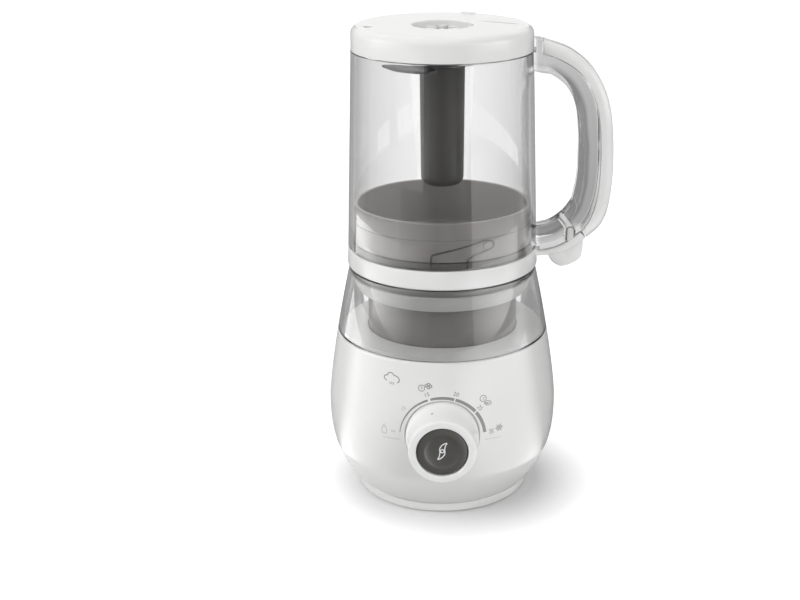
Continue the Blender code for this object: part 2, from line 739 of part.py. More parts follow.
def controls(base, knob_axis):
    """Knob, button and spring on one axis, with the timer, the switch and the board behind them."""
    well_r = BUTTON_R + RUN
    bore_r = STEM_R + 0.0008
    skirt_in_r = KNOB_SKIRT_R - 0.0024
    front = [(KNOB_FRONT_R - 0.0008, KNOB_DEPTH), (KNOB_FRONT_R, KNOB_DEPTH - 0.0010)]
    skirt = [(KNOB_SKIRT_R, KNOB_SKIRT_TOP), (KNOB_SKIRT_R, RUN), (skirt_in_r, RUN)]
    back = [
        (skirt_in_r - 0.0006, KNOB_WEB_UNDER - 0.0008), (HUB_R, KNOB_WEB_UNDER), (HUB_R, HUB_END),
        (bore_r, HUB_END), (bore_r, KNOB_WEB_TOP), (well_r, KNOB_WEB_TOP), (well_r, KNOB_DEPTH),
    ]
    turned("control_knob", front + list(KNOB_WAIST) + skirt + back, WHITE, knob_axis, LARGE)

    skirt = [(BUTTON_R, BUTTON_EDGE), (BUTTON_R, BUTTON_SKIRT), (BUTTON_R - BUTTON_WALL, BUTTON_SKIRT)]
    stem = [(BUTTON_R - BUTTON_WALL, BUTTON_UNDER), (STEM_R, BUTTON_UNDER), (STEM_R, STEM_END), (0.0, STEM_END)]
    turned("blend_button", list(BUTTON_DISH) + skirt + stem, DARK, knob_axis, MIDDLE)

    low, high = KNOB_WEB_TOP + SPRING_CLEAR, BUTTON_UNDER - SPRING_CLEAR
    count = SPRING_TURNS * POINTS_PER_TURN
    step = (high - low) / count
    coil = [around(SPRING_R, 360 * i / POINTS_PER_TURN, low + step * i) for i in range(count + 1)]
    tube("button_spring", coil, SPRING_WIRE_R, STEEL, knob_axis, resolution=1)
    apart = [(a - b).length for i, a in enumerate(coil) for b in coil[i + POINTS_PER_TURN // 2:]]
    print(f"button_spring least gap to itself {(min(apart) - 2 * SPRING_WIRE_R) * 1000:.2f} mm")

    board_front = BOARD_Y - GAP
    timer = box(
        "timer_body", (-TIMER_HALF, CUP_BACK_Y + GAP, KNOB_Z - TIMER_HALF),
        (TIMER_HALF, board_front, KNOB_Z + TIMER_HALF), DARK, base, edge=0.0010,
    )
    cut(timer, front_rod("timer_bore", CUP_BACK_Y - 0.0050, board_front + 0.0050, HUB_R + RUN, SMALL))
    box(
        "button_switch", (-SWITCH_HALF, SWITCH_Y, KNOB_Z - SWITCH_HALF),
        (SWITCH_HALF, board_front, KNOB_Z + SWITCH_HALF), DARK, base, edge=0.0004,
    )
    box(
        "control_board", (-BOARD_HALF_X, BOARD_Y, KNOB_Z - BOARD_BELOW),
        (BOARD_HALF_X, BOARD_Y + BOARD_THICK, KNOB_Z + BOARD_ABOVE), BOARD, base,
    )


def cord_gland(parent):
    """Bush that lines the cord's hole in the back of the housing."""
    gland = turned(
        "cord_gland",
        [
            (GLAND_R - RUN, GLAND_OUTER_Y), (GLAND_R, GLAND_OUTER_Y - 0.0008), (GLAND_R, GLAND_FLANGE_Y),
            (GLAND_FLANGE_R, GLAND_FLANGE_Y), (GLAND_FLANGE_R, GLAND_INNER_Y), (GLAND_BORE_R, GLAND_INNER_Y),
            (GLAND_BORE_R, GLAND_OUTER_Y),
        ],
        DARK, parent, SMALL,
    )
    gland.location = (0, 0, GLAND_Z)
    gland.rotation_euler = (math.radians(-90), 0, 0)


def jar(parent):
    """Clear jar, mouth down, its floor under the cap, with the clear inner half of the handle."""
    floor_under = JAR_SEAM_Z - JAR_FLOOR
    outer = [(JAR_SEAM_R, JAR_SEAM_Z), (JAR_MOUTH_R, JAR_MOUTH_Z)]
    inner = [(jar_radius(z) - JAR_WALL, z) for z in (JAR_MOUTH_Z, floor_under - JAR_FILLET)]
    floor = [(JAR_SEAM_R - JAR_WALL - JAR_FILLET, floor_under), (JAR_BUSH_HOLE_R, floor_under)]
    body = turned(
        "jar_body",
        outer + inner + floor + [(JAR_BUSH_HOLE_R, JAR_SEAM_Z)],
        CLEAR, parent, LARGE,
    )

    seat = smooth(SPINE_SEAT, 2)
    hole = smooth(FINGER_HOLE, 2)
    lever = offset(smooth(LEVER_TOP, 2)[3:], LEVER_CLEAR)
    foot_x = RING_BOTTOM_R + LEVER_CLEAR
    foot = [(foot_x, lever[0][1]), (foot_x, HANDLE_FOOT_Z), (HANDLE_ROOT_X, HANDLE_FOOT_Z)]
    outline = list(HANDLE_STUB) + offset(seat, -GAP)[1:] + lever[::-1] + foot + hole
    loop = flat_outline("handle_loop", [outline], HANDLE_HALF)
    round_run(loop, hole, HANDLE_HALF, GRIP_ROUND, 2)
    low, high = LEVER_TOP[0][1] - 0.0100, LUG_TOP + 0.0060
    core = [(jar_radius(z) - JAR_WALL / 2, z) for z in (high, low)]
    cut(loop, turned("jar_core", [(0.0, high)] + core + [(0.0, low)], steps=LARGE))
    slot_low = Vector(TONGUE_LOW) - Vector((TONGUE_CLEAR, 0.0060, 0.0100))
    slot_high = Vector(TONGUE_HIGH) + Vector((TONGUE_CLEAR, 0.0020, TONGUE_CLEAR))
    cut(loop, box("tongue_slot", slot_low, slot_high))
    join(body, loop)

    crest = smooth(SPINE_CREST, 2)
    spine = flat_outline("handle_spine", [crest + seat[::-1]], SPINE_HALF, WHITE, parent)
    round_run(spine, crest, SPINE_HALF, SPINE_ROUND, 3)


def jar_cap(parent):
    """White cap that closes the jar's floor, with the well for the coupling and a small rim lug."""
    angles = [math.radians(30 * i) for i in range(4)]
    edge = [
        (CAP_R - CAP_EDGE_R * (1 - math.sin(a)), CAP_TOP - CAP_EDGE_R * (1 - math.cos(a))) for a in angles
    ]
    under = JAR_SEAM_Z + GAP
    roof = CAP_TOP - CAP_ROOF
    well_out_r = WELL_R + WELL_WALL
    well_under = WELL_FLOOR - WELL_WALL
    inner_r = CAP_R - CAP_WALL
    cap = turned(
        "jar_cap",
        edge + [
            (CAP_R, under), (inner_r, under), (inner_r, roof - 0.0022), (inner_r - 0.0026, roof),
            (well_out_r, roof), (well_out_r, well_under), (WELL_HOLE_R, well_under), (WELL_HOLE_R, WELL_FLOOR),
            (WELL_R, WELL_FLOOR), (WELL_R, CAP_TOP),
        ],
        WHITE, parent, LARGE,
    )
    half_x, half_y = LUG_HALF
    lug = box("rim_lug", (-half_x, -half_y, CAP_TOP - 0.0010), (half_x, half_y, LUG_TOP))
    lug.location = around(LUG_CIRCLE_R, LUG_DEG)
    lug.rotation_euler = (0, 0, math.radians(LUG_DEG - 90))
    join(cap, lug)
    dimple = around(DIMPLE_CIRCLE_R, DIMPLE_DEG, CAP_TOP - DIMPLE_DEPTH)
    cut(cap, rod("rim_dimple", dimple, dimple + UP * 0.0060, DIMPLE_R, sides=TINY))


def blade_unit(jar_frame, blade_frame):
    """Bush and seal in the jar's floor; shaft, coupling, column and two sickle blades that spin in them."""
    bore_r = SHAFT_R + RUN
    seal_r, seal_high = BLADE_BUSH_R - RUN, BLADE_BUSH_LOW - GAP
    for name, radius, low, high, material in (
        ("blade_bush", BLADE_BUSH_R, BLADE_BUSH_LOW, BLADE_BUSH_HIGH, BRONZE),
        ("shaft_seal", seal_r, SHAFT_SEAL_LOW, seal_high, RUBBER),
    ):
        turned(name, [(radius, high), (radius, low), (bore_r, low), (bore_r, high)], material, jar_frame, SMALL)

    turned(
        "blade_shaft",
        [
            (0.0, BLADE_SHAFT_HIGH), (SHAFT_R, BLADE_SHAFT_HIGH - GAP), (SHAFT_R, BLADE_SHAFT_LOW + GAP),
            (0.0, BLADE_SHAFT_LOW),
        ],
        STEEL, blade_frame, SMALL,
    )
    coupling(
        "driven_coupling", blade_frame, PALE, DRIVEN_R, DRIVEN_SOCKET_R,
        low=WELL_FLOOR + RUN, shaft_end=BLADE_SHAFT_HIGH + RUN, socket=DRIVEN_HIGH - 0.0032, high=DRIVEN_HIGH,
    )
    fit_r, pocket = SHAFT_R + GAP, BLADE_SHAFT_LOW - RUN
    turned(
        "blade_hub",
        [
            (0.0, pocket), (fit_r, pocket), (fit_r, COLUMN_SOCKET_TOP), (COLUMN_SOCKET_R, COLUMN_SOCKET_TOP),
            (COLUMN_SOCKET_R, COLUMN_TOP), (COLUMN_R - 0.0008, COLUMN_TOP), (COLUMN_R, COLUMN_TOP - 0.0008),
            (COLUMN_END_R, COLUMN_END + 0.0040), (COLUMN_END_R - 0.0016, COLUMN_END + 0.0011),
            (COLUMN_END_R - 0.0045, COLUMN_END), (0.0, COLUMN_END),
        ],
        DARK, blade_frame, MIDDLE,
    )

    wing = smooth(WING, 2)
    first = math.degrees(math.atan2(wing[-1][1], wing[-1][0]))
    last = 360 + math.degrees(math.atan2(wing[0][1], wing[0][0]))
    arc = [tuple(around(BLADE_RING_R, a).xy) for a in spread(first + 18, last - 10, TINY)]
    eye = [tuple(around(COLUMN_R + GAP, 360 * i / MIDDLE).xy) for i in range(MIDDLE)]
    for name, height, turn in (
        ("blade_upper", BLADE_UPPER_Z, BLADE_DEG + 180), ("blade_lower", BLADE_LOWER_Z, BLADE_DEG),
    ):
        blade = flat_outline(name, [wing + arc, eye], BLADE_HALF_THICK, STEEL, blade_frame, upright=False)
        for vert in blade.data.vertices:
            vert.co.z += height
        blade.rotation_euler = (0, 0, math.radians(turn))


def lid(parent):
    """Grey cup with two bayonet lugs and its spigot, white ring with the lever, seal and strainer."""
    cup = turned(
        "lid_cup",
        [
            (CUP_R, CUP_TOP), (CUP_R, CUP_STEP_Z), (LID_BODY_R, CUP_STEP_Z), (LID_BODY_R, CUP_FLOOR_UNDER),
            (STEAM_HOLE_R, CUP_FLOOR_UNDER), (STEAM_HOLE_R, CUP_FLOOR_TOP),
            (CUP_IN_R - RUN, CUP_FLOOR_TOP), (CUP_IN_R, CUP_FLOOR_TOP + 0.0012), (CUP_IN_R, CUP_TOP),
        ],
        GREY, parent, LARGE,
    )
    flange_top = CUP_FLOOR_UNDER - GAP
    turned(
        "lid_spigot",
        [
            (LID_BODY_R, flange_top), (LID_BODY_R, LID_BODY_UNDER), (SPIGOT_R, LID_BODY_UNDER),
            (SPIGOT_R, SPIGOT_BOTTOM), (SPIGOT_IN_R, SPIGOT_BOTTOM), (SPIGOT_IN_R, flange_top),
        ],
        PALE, parent, LARGE,
    )
    for i in range(2):
        angle = LOCK_LUG_DEG + 180 * i
        root, tip = (around(r, angle, LOCK_LUG_Z) for r in (CUP_R - 0.0012, CUP_R + LOCK_LUG_OUT))
        join(cup, rod(f"lock_lug_{i + 1}", root, tip, LOCK_LUG_R, sides=TINY))

    body_r = LID_BODY_R + GAP
    ring = turned(
        "lid_ring",
        [
            (RING_TOP_R - 0.0006, RING_TOP), (RING_TOP_R, RING_TOP - 0.0006),
            (RING_BOTTOM_R, RING_BOTTOM + 0.0008), (RING_BOTTOM_R - 0.0008, RING_BOTTOM),
            (RING_SKIRT_R, RING_BOTTOM), (RING_SKIRT_R, RING_WEB_UNDER),
            (body_r, RING_WEB_UNDER), (body_r, RING_TOP),
        ],
        WHITE, parent, LARGE,
    )
    strip = smooth(LEVER_TOP, 2) + smooth(LEVER_UNDER, 2)[::-1]
    join(
        ring,
        flat_outline("lever_strip", [strip], LEVER_HALF),
        flat_outline("lever_tab", [TAB_OUTLINE], TAB_HALF),
        box("lever_tongue", TONGUE_LOW, TONGUE_HIGH, edge=0.0006),
    )
    seal_low = RING_TOP + GAP
    turned(
        "lid_seal",
        [(SEAL_R, SEAL_TOP), (SEAL_R, seal_low), (body_r, seal_low), (body_r, SEAL_TOP)],
        SILICONE, parent, LARGE,
    )

    under = CUP_FLOOR_TOP + GAP
    inner_r = STRAINER_R - STRAINER_WALL
    roof = STRAINER_TOP - STRAINER_WALL
    strainer = turned(
        "steam_strainer",
        [
            (0.0, STRAINER_TOP), (STRAINER_R - 0.0020, STRAINER_TOP), (STRAINER_R, STRAINER_TOP - 0.0015),
            (STRAINER_R, under), (inner_r, under), (inner_r, roof), (0.0, roof),
        ],
        GREY, parent, MIDDLE,
    )
    for i in range(4):
        window = box(f"strainer_window_{i + 1}", WINDOW_LOW, WINDOW_HIGH)
        window.rotation_euler = (0, 0, math.radians(45 * i))
        cut(strainer, window)


clear_scene()
PARTS = new_collection("baby_food_maker")
CUTTERS = new_collection("cutters")

WHITE = finish("white_plastic", (0.86, 0.86, 0.85), 0.30)
GREY = finish("grey_plastic", (0.36, 0.35, 0.34), 0.35)
PALE = finish("pale_grey_plastic", (0.62, 0.62, 0.61), 0.35)
DARK = finish("dark_grey_plastic", (0.065, 0.063, 0.060), 0.40)
CLEAR = finish("clear_plastic", (0.80, 0.81, 0.80), 0.05, alpha=0.3)
STEEL = finish("stainless_steel", (0.60, 0.60, 0.60), 0.25, metallic=1.0)
BRONZE = finish("sintered_bronze", (0.55, 0.36, 0.16), 0.40, metallic=1.0)
COPPER = finish("copper_winding", (0.70, 0.33, 0.17), 0.40, metallic=1.0)
ALUMINIUM = finish("cast_aluminium", (0.62, 0.62, 0.63), 0.45, metallic=1.0)
RUBBER = finish("black_rubber", (0.030, 0.030, 0.030), 0.80)
SILICONE = finish("silicone", (0.70, 0.70, 0.68), 0.50)
BOARD = finish("circuit_board", (0.03, 0.18, 0.07), 0.50)

base_frame = frame_empty("base_frame")
rotor_frame = frame_empty("rotor_frame", base_frame)
knob_frame = frame_empty("knob_frame", base_frame, (0, POCKET_Y, KNOB_Z), (math.radians(90), 0, 0))
jar_frame = frame_empty("jar_frame", base_frame)
blade_frame = frame_empty("blade_frame", jar_frame)
lid_frame = frame_empty("lid_frame", jar_frame)

base_housing(base_frame)
feet_and_screws(base_plate(base_frame), base_frame)
water_tank(base_frame)
motor(base_frame, rotor_frame)
boiler(base_frame)
controls(base_frame, knob_frame)
cord_gland(base_frame)
jar(jar_frame)
jar_cap(jar_frame)
blade_unit(jar_frame, blade_frame)
lid(lid_frame)
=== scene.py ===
import math

import bmesh
import bpy
import numpy as np
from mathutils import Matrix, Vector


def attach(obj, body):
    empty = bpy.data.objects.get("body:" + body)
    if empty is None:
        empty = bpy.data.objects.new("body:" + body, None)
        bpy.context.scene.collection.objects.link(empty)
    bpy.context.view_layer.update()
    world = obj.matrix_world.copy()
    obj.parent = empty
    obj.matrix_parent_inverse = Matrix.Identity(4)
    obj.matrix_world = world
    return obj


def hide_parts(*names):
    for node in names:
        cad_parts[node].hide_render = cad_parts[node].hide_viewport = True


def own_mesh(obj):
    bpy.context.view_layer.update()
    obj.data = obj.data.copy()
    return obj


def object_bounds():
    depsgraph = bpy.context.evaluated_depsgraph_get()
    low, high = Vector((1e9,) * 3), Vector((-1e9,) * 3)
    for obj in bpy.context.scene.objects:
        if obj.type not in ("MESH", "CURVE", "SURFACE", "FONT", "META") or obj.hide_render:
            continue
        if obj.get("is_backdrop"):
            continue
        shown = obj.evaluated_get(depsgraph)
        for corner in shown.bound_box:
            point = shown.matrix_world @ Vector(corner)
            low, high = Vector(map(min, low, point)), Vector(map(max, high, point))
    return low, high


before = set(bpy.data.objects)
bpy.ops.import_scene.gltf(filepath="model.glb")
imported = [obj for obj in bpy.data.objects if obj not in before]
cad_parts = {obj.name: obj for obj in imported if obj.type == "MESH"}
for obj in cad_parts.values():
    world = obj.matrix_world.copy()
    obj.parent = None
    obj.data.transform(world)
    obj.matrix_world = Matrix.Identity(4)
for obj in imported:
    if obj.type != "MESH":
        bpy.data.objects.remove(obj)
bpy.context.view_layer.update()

# Camera: a short telephoto lens about 0.8 m in front of the object and a hand above it, tipped down to the jar.
# The object stands right of the picture's middle, so the lens is shifted a little to the left.
PICTURE_WIDTH_PX, FOCAL_LENGTH_PX, OBJECT_AXIS_PX = 800, 1370, 442.3
SENSOR_MM, CLIP_START = 36.0, 0.01
CAMERA_PLACE, CAMERA_TIP_DEG = (0, -0.788, 0.4016), 19.83
lens = bpy.data.cameras.new("camera")
lens.sensor_width = SENSOR_MM
lens.lens = FOCAL_LENGTH_PX / PICTURE_WIDTH_PX * SENSOR_MM
lens.shift_x = (PICTURE_WIDTH_PX / 2 - OBJECT_AXIS_PX) / PICTURE_WIDTH_PX
lens.clip_start = CLIP_START
camera = bpy.data.objects.new("camera", lens)
camera.location = CAMERA_PLACE
camera.rotation_euler = (math.radians(90 - CAMERA_TIP_DEG), 0, 0)
bpy.context.scene.collection.objects.link(camera)
bpy.context.scene.camera = camera
bpy.context.scene.view_settings.view_transform = "Standard"

# Base housing: the egg-shaped lower body, one moulding in gloss white ABS with a wall of 2.6 mm.
# A round pocket in its front takes the timer knob, and a hole low in its back takes the bush for the mains lead.
BODY_BOTTOM, BODY_FOOT_R = 0.0066, 0.0538
BELLY_Z, BELLY_R = 0.0576, 0.06974
BODY_TOP, BODY_WALL = 0.1018, 0.0026
COLLAR_TOP, COLLAR_TOP_R = 0.1410, 0.0561
FLANGE_TOP, FLANGE_HOLE_R = 0.0106, 0.0380
DECK_UNDER, DECK_HOLE_R = 0.0990, 0.0400
KNOB_Z, POCKET_Y, POCKET_R, POCKET_EDGE, POCKET_SPAN = 0.0579, -0.0644, 0.0217, 0.0006, 0.0290
CUP_BACK_Y, CUP_R, HUB_HOLE_R = -0.0616, 0.0235, 0.0075
GLAND_Z, GLAND_HOLE_R = 0.0196, 0.0058
ROUND = 192
CREASE_DEG = 34
SAME_POINT = 0.000002


def linear(hex_colour):
    """An sRGB hex colour as the linear RGBA that shaders take."""
    srgb = np.array([int(hex_colour[i:i + 2], 16) for i in (1, 3, 5)]) / 255
    return (*np.where(srgb <= 0.04045, srgb / 12.92, ((srgb + 0.055) / 1.055) ** 2.4), 1.0)


def new_finish(name):
    """An empty node material."""
    finish = bpy.data.materials.new(name)
    finish.use_nodes = True
    finish.node_tree.nodes.clear()
    return finish


def add_node(owner, kind, settings=None, links=None):
    """Adds one node: settings name its properties or sockets, links name a socket and the output that feeds it."""
    node = owner.node_tree.nodes.new(kind)
    for name, value in (settings or {}).items():
        if isinstance(name, int) or name in node.inputs:
            node.inputs[name].default_value = value
        else:
            setattr(node, name, value)
    for name, output in (links or {}).items():
        owner.node_tree.links.new(output, node.inputs[name])
    return node


def grained(name, dark, light, grain, rough, relief=None, drift=None, detail=3.0, **settings):
    """A finish over a fine noise, stretched where the grain has three sizes. Its tone goes between two colours with
    the noise or with a slower drift, a pair of roughnesses follows it, and so does a relief (strength, depth)."""
    finish = new_finish(name)
    place = where = add_node(finish, "ShaderNodeTexCoord").outputs["Object"]
    scale = 1.0
    if isinstance(grain, tuple):
        stretch = {"Scale": tuple(1 / size for size in grain)}
        where = add_node(finish, "ShaderNodeMapping", stretch, {"Vector": place}).outputs["Vector"]
    else:
        scale = 1 / grain
    fine = add_node(finish, "ShaderNodeTexNoise", {"Scale": scale, "Detail": detail}, {"Vector": where})
    slow = fine
    if drift:
        slow = add_node(finish, "ShaderNodeTexNoise", {"Scale": 1 / drift, "Detail": detail}, {"Vector": place})
    tones = {"data_type": "RGBA", 6: linear(dark), 7: linear(light)}
    links = {"Base Color": add_node(finish, "ShaderNodeMix", tones, {0: slow.outputs["Fac"]}).outputs[2]}
    if isinstance(rough, tuple):
        ends = {"To Min": rough[0], "To Max": rough[1]}
        sheen = add_node(finish, "ShaderNodeMapRange", ends, {"Value": fine.outputs["Fac"]})
        links["Roughness"] = sheen.outputs["Result"]
    else:
        settings["Roughness"] = rough
    if relief:
        depth = {"Strength": relief[0], "Distance": relief[1]}
        bump = add_node(finish, "ShaderNodeBump", depth, {"Height": fine.outputs["Fac"]})
        links["Normal"] = bump.outputs["Normal"]
    shader = add_node(finish, "ShaderNodeBsdfPrincipled", settings, links)
    add_node(finish, "ShaderNodeOutputMaterial", links={"Surface": shader.outputs["BSDF"]})
    return finish


def moulded(name, dark, light, rough, skin_size, relief, ior):
    """A moulded plastic: its tone drifts between two colours over some 45 mm, its skin varies the sheen."""
    return grained(name, dark, light, skin_size, rough, (relief, 0.00003), drift=0.045, detail=2.0, IOR=ior)


def net(points, loop_rows=False, blocks=(), loop_columns=True):
    """A grid of points with its quads, closed round its columns unless told not to, closed round its rows where
    asked, and left open at the given blocks of rows and columns."""
    rows, columns = points.shape[:2]
    row = np.arange(rows if loop_rows else rows - 1)[:, None]
    column = np.arange(columns if loop_columns else columns - 1)[None, :]
    next_row, next_column = (row + 1) % rows, (column + 1) % columns
    corners = (
        row * columns + column, row * columns + next_column,
        next_row * columns + next_column, next_row * columns + column,
    )
    faces = np.stack(np.broadcast_arrays(*corners), -1)
    keep = np.ones(faces.shape[:2], bool)
    for (first, last), (left, right) in blocks:
        keep[min(first, last):max(first, last), left:right] = False
    return points, faces[keep]


def capped(sections):
    """A stack of closed sections with its quads and a face over each end."""
    rows, count = sections.shape[:2]
    ends = [list(range(count)), list(range((rows - 1) * count, rows * count))]
    return sections, net(sections)[1].tolist() + ends


def turn(profile, steps=ROUND, start=0.0):
    """A profile of (radius, height) carried round Z: x = r cos a, y = r sin a, z = height, a in even steps."""
    angle = start + np.linspace(0, 2 * np.pi, steps, endpoint=False)
    radius, height = np.asarray(profile, float).T[:, :, None]
    return np.stack(np.broadcast_arrays(radius * np.cos(angle), radius * np.sin(angle), height), -1)


def edge_of_block(grid, rows, columns):
    """The points round a block of a grid: along its first row, up its last column, back, and down its first."""
    (first, last), (left, right) = rows, columns
    row = np.linspace(first, last, abs(last - first) + 1).astype(int)
    column = np.arange(left, right + 1)
    return np.concatenate([
        grid[first, column[:-1]], grid[row[:-1], right], grid[last, column[:0:-1]], grid[row[:0:-1], left],
    ])


def between(start, end, count):
    """Loops spaced evenly from one loop towards another, the end loop included."""
    share = np.linspace(0, 1, count + 1)[1:, None, None]
    return start * (1 - share) + end * share


def add_object(name, parts, finish=None):
    """One mesh object from pairs of points and faces: each part's faces are counted on from the parts before."""
    points = [np.reshape(part, (-1, 3)) for part, _ in parts]
    starts = np.cumsum([0] + [len(part) for part in points[:-1]])
    faces = [[int(index + start) for index in face] for (_, f), start in zip(parts, starts) for face in f]
    mesh = bpy.data.meshes.new(name)
    mesh.from_pydata(np.concatenate(points).tolist(), [], faces)
    if finish:
        mesh.materials.append(finish)
    item = bpy.data.objects.new(name, mesh)
    bpy.context.scene.collection.objects.link(item)
    return item


def shade(mesh, crease=CREASE_DEG):
    """Joins points that coincide, turns the faces outward and keeps edges past the crease angle sharp."""
    shape = bmesh.new()
    shape.from_mesh(mesh)
    bmesh.ops.remove_doubles(shape, verts=shape.verts, dist=SAME_POINT)
    bmesh.ops.recalc_face_normals(shape, faces=shape.faces)
    shape.to_mesh(mesh)
    shape.free()
    mesh.shade_smooth()
    mesh.set_sharp_from_angle(angle=math.radians(crease))


def make_piece(name, parts, finish, body, stands_for=(), crease=CREASE_DEG):
    """One piece from pairs of points and faces, riding on a body in place of the named nodes."""
    piece = add_object(name, parts, finish)
    shade(piece.data, crease)
    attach(piece, body)
    if stands_for:
        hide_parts(*stands_for)
    return piece


def egg_radius(z):
    """Radius of the body: belly - (belly - foot) t^2.8 below the belly, belly - (belly - rim) t^1.32 above it."""
    fall = np.clip((BELLY_Z - z) / (BELLY_Z - BODY_BOTTOM), 0, None)
    rise = np.clip((z - BELLY_Z) / (COLLAR_TOP - BELLY_Z), 0, None)
    return BELLY_R - (BELLY_R - BODY_FOOT_R) * fall ** 2.8 - (BELLY_R - COLLAR_TOP_R) * rise ** 1.32


def on_body(points, side=-1, wall=0.0):
    """Points moved along Y on to the body: y = side * sqrt(r(z)^2 - x^2), with r less the wall on the inside."""
    x, z = points[..., 0], points[..., 2]
    return np.stack([x, side * np.sqrt((egg_radius(z) - wall) ** 2 - x ** 2), z], -1)


def facing_loop(angle, radius, height, y=0.0):
    """A circle in a plane across Y: x = r cos a, z = height + r sin a."""
    return np.stack([radius * np.cos(angle), np.full_like(angle, y), height + radius * np.sin(angle)], -1)


# Gloss white ABS: bright and even, a soft sheen with the faint waviness of a moulded skin.
white_abs = moulded("gloss_white_abs", "#ededec", "#f2f2f1", (0.11, 0.18), 0.0011, 0.06, 1.54)

low_levels = np.concatenate([np.linspace(0.0072, 0.0118, 5), np.linspace(0.0118, 0.0274, 11)[1:]])
pocket_levels = np.linspace(KNOB_Z - POCKET_SPAN, KNOB_Z + POCKET_SPAN, 31)
high_levels, deck_levels = (
    np.linspace(KNOB_Z + POCKET_SPAN, top, count)[1:] for top, count in ((BODY_TOP - 0.0004, 9), (DECK_UNDER, 7))
)
levels = np.concatenate([low_levels, pocket_levels, high_levels])
inner_levels = np.concatenate([[FLANGE_TOP], low_levels[4:], pocket_levels, deck_levels])
outer_wall = np.concatenate([
    [(BODY_FOOT_R - 0.0006, BODY_BOTTOM), (BODY_FOOT_R - 0.0001, BODY_BOTTOM + 0.0002)],
    np.stack([egg_radius(levels), levels], -1),
    [(egg_radius(BODY_TOP) - 0.0001, BODY_TOP - 0.0001), (egg_radius(BODY_TOP) - 0.0004, BODY_TOP)],
])
inner_wall = np.stack([egg_radius(inner_levels) - BODY_WALL, inner_levels], -1)[::-1]
housing = turn(np.concatenate([
    outer_wall, [(DECK_HOLE_R, BODY_TOP), (DECK_HOLE_R, DECK_UNDER)],
    inner_wall, [(FLANGE_HOLE_R, FLANGE_TOP), (FLANGE_HOLE_R, BODY_BOTTOM)],
]))
last_inner = len(outer_wall) + 1 + len(inner_levels)
front = (ROUND * 3 // 4 - 15, ROUND * 3 // 4 + 15)
back = (ROUND // 4 - 5, ROUND // 4 + 5)
pocket_rows, pocket_back_rows = (17, 47), (last_inner - 12, last_inner - 42)
gland_rows, gland_back_rows = (6, 16), (last_inner - 1, last_inner - 11)

rim, rim_back = edge_of_block(housing, pocket_rows, front), edge_of_block(housing, pocket_back_rows, front)
angle = np.arctan2(rim[:, 2] - KNOB_Z, rim[:, 0])
mouth = on_body(facing_loop(angle, POCKET_R + POCKET_EDGE, KNOB_Z))
lip = on_body(facing_loop(angle, POCKET_R, KNOB_Z)) + [0, POCKET_EDGE, 0]
cup_edge = on_body(facing_loop(angle, CUP_R, KNOB_Z), wall=BODY_WALL)
inside = (
    (POCKET_R, POCKET_Y - POCKET_EDGE), (POCKET_R - POCKET_EDGE, POCKET_Y), (HUB_HOLE_R, POCKET_Y),
    (HUB_HOLE_R, CUP_BACK_Y), (CUP_R, CUP_BACK_Y),
)
pocket = np.concatenate([
    [rim], on_body(between(rim, mouth, 9)), [lip], [facing_loop(angle, r, KNOB_Z, y) for r, y in inside],
    [cup_edge], on_body(between(cup_edge, rim_back, 5), wall=BODY_WALL),
])
rim, rim_back = edge_of_block(housing, gland_rows, back), edge_of_block(housing, gland_back_rows, back)
angle = np.arctan2(rim[:, 2] - GLAND_Z, rim[:, 0])
mouth, mouth_back = (
    on_body(facing_loop(angle, GLAND_HOLE_R, GLAND_Z), side=1, wall=wall) for wall in (0.0, BODY_WALL)
)
gland_hole = np.concatenate([
    [rim], on_body(between(rim, mouth, 4), side=1), [mouth_back],
    on_body(between(mouth_back, rim_back, 4), side=1, wall=BODY_WALL),
])
blocks = [(pocket_rows, front), (pocket_back_rows, front), (gland_rows, back), (gland_back_rows, back)]
make_piece(
    "housing_shell", [net(housing, loop_rows=True, blocks=blocks), net(pocket), net(gland_hole)],
    white_abs, "base", ["base_housing"],
)

# Dial print: one grey lacquer, pad printed on the housing round the knob: a band that swells with the time,
# minute figures outside it, and a small pictogram for each use beyond those.
INK_TOP, INK_UNDER = 0.00005, -0.00002
FIGURE_SIZE, DIAL_R, DIAL_DROP = 0.0034, 0.0248, 0.0011
THIN_LINE, FINE_LINE, HAIR_LINE = 0.0004, 0.0003, 0.00025


def run(points, count):
    """A Catmull-Rom curve through the points, sampled at even steps of its length."""
    knots = np.asarray(points, float)
    knots = np.vstack([2 * knots[0] - knots[1], knots, 2 * knots[-1] - knots[-2]])
    a, b, c, d = (knots[i:len(knots) - 3 + i, None] for i in range(4))
    t = np.linspace(0, 1, 24, endpoint=False)[None, :, None]
    squared, cubed = a - 2.5 * b + 2 * c - d / 2, 1.5 * (b - c) + (d - a) / 2
    curve = b + (c - a) * t / 2 + squared * t ** 2 + cubed * t ** 3
    curve = np.vstack([curve.reshape(-1, knots.shape[1]), knots[-2]])
    length = np.concatenate([[0], np.cumsum(np.linalg.norm(np.diff(curve, axis=0), axis=1))])
    at_length = np.linspace(0, length[-1], count)
    return np.stack([np.interp(at_length, length, curve[:, i]) for i in range(curve.shape[1])], -1)


def ink_line(path, width, closed=False):
    """A printed line: half the width to each side of the path, the film's thickness up and down, its ends closed."""
    path = np.asarray(path, float)
    ahead = np.roll(path, -1, 0) - np.roll(path, 1, 0) if closed else np.gradient(path, axis=0)
    side = np.stack([-ahead[:, 1], ahead[:, 0]], -1) / np.linalg.norm(ahead, axis=1, keepdims=True)
    reach = side * np.broadcast_to(width, len(path))[:, None] / 2
    flat = np.stack([path + reach, path + reach, path - reach, path - reach], 1)
    film = np.broadcast_to([INK_TOP, INK_UNDER, INK_UNDER, INK_TOP], flat.shape[:2])
    line = np.concatenate([flat, film[..., None]], -1)
    return net(line, loop_rows=True) if closed else capped(line)


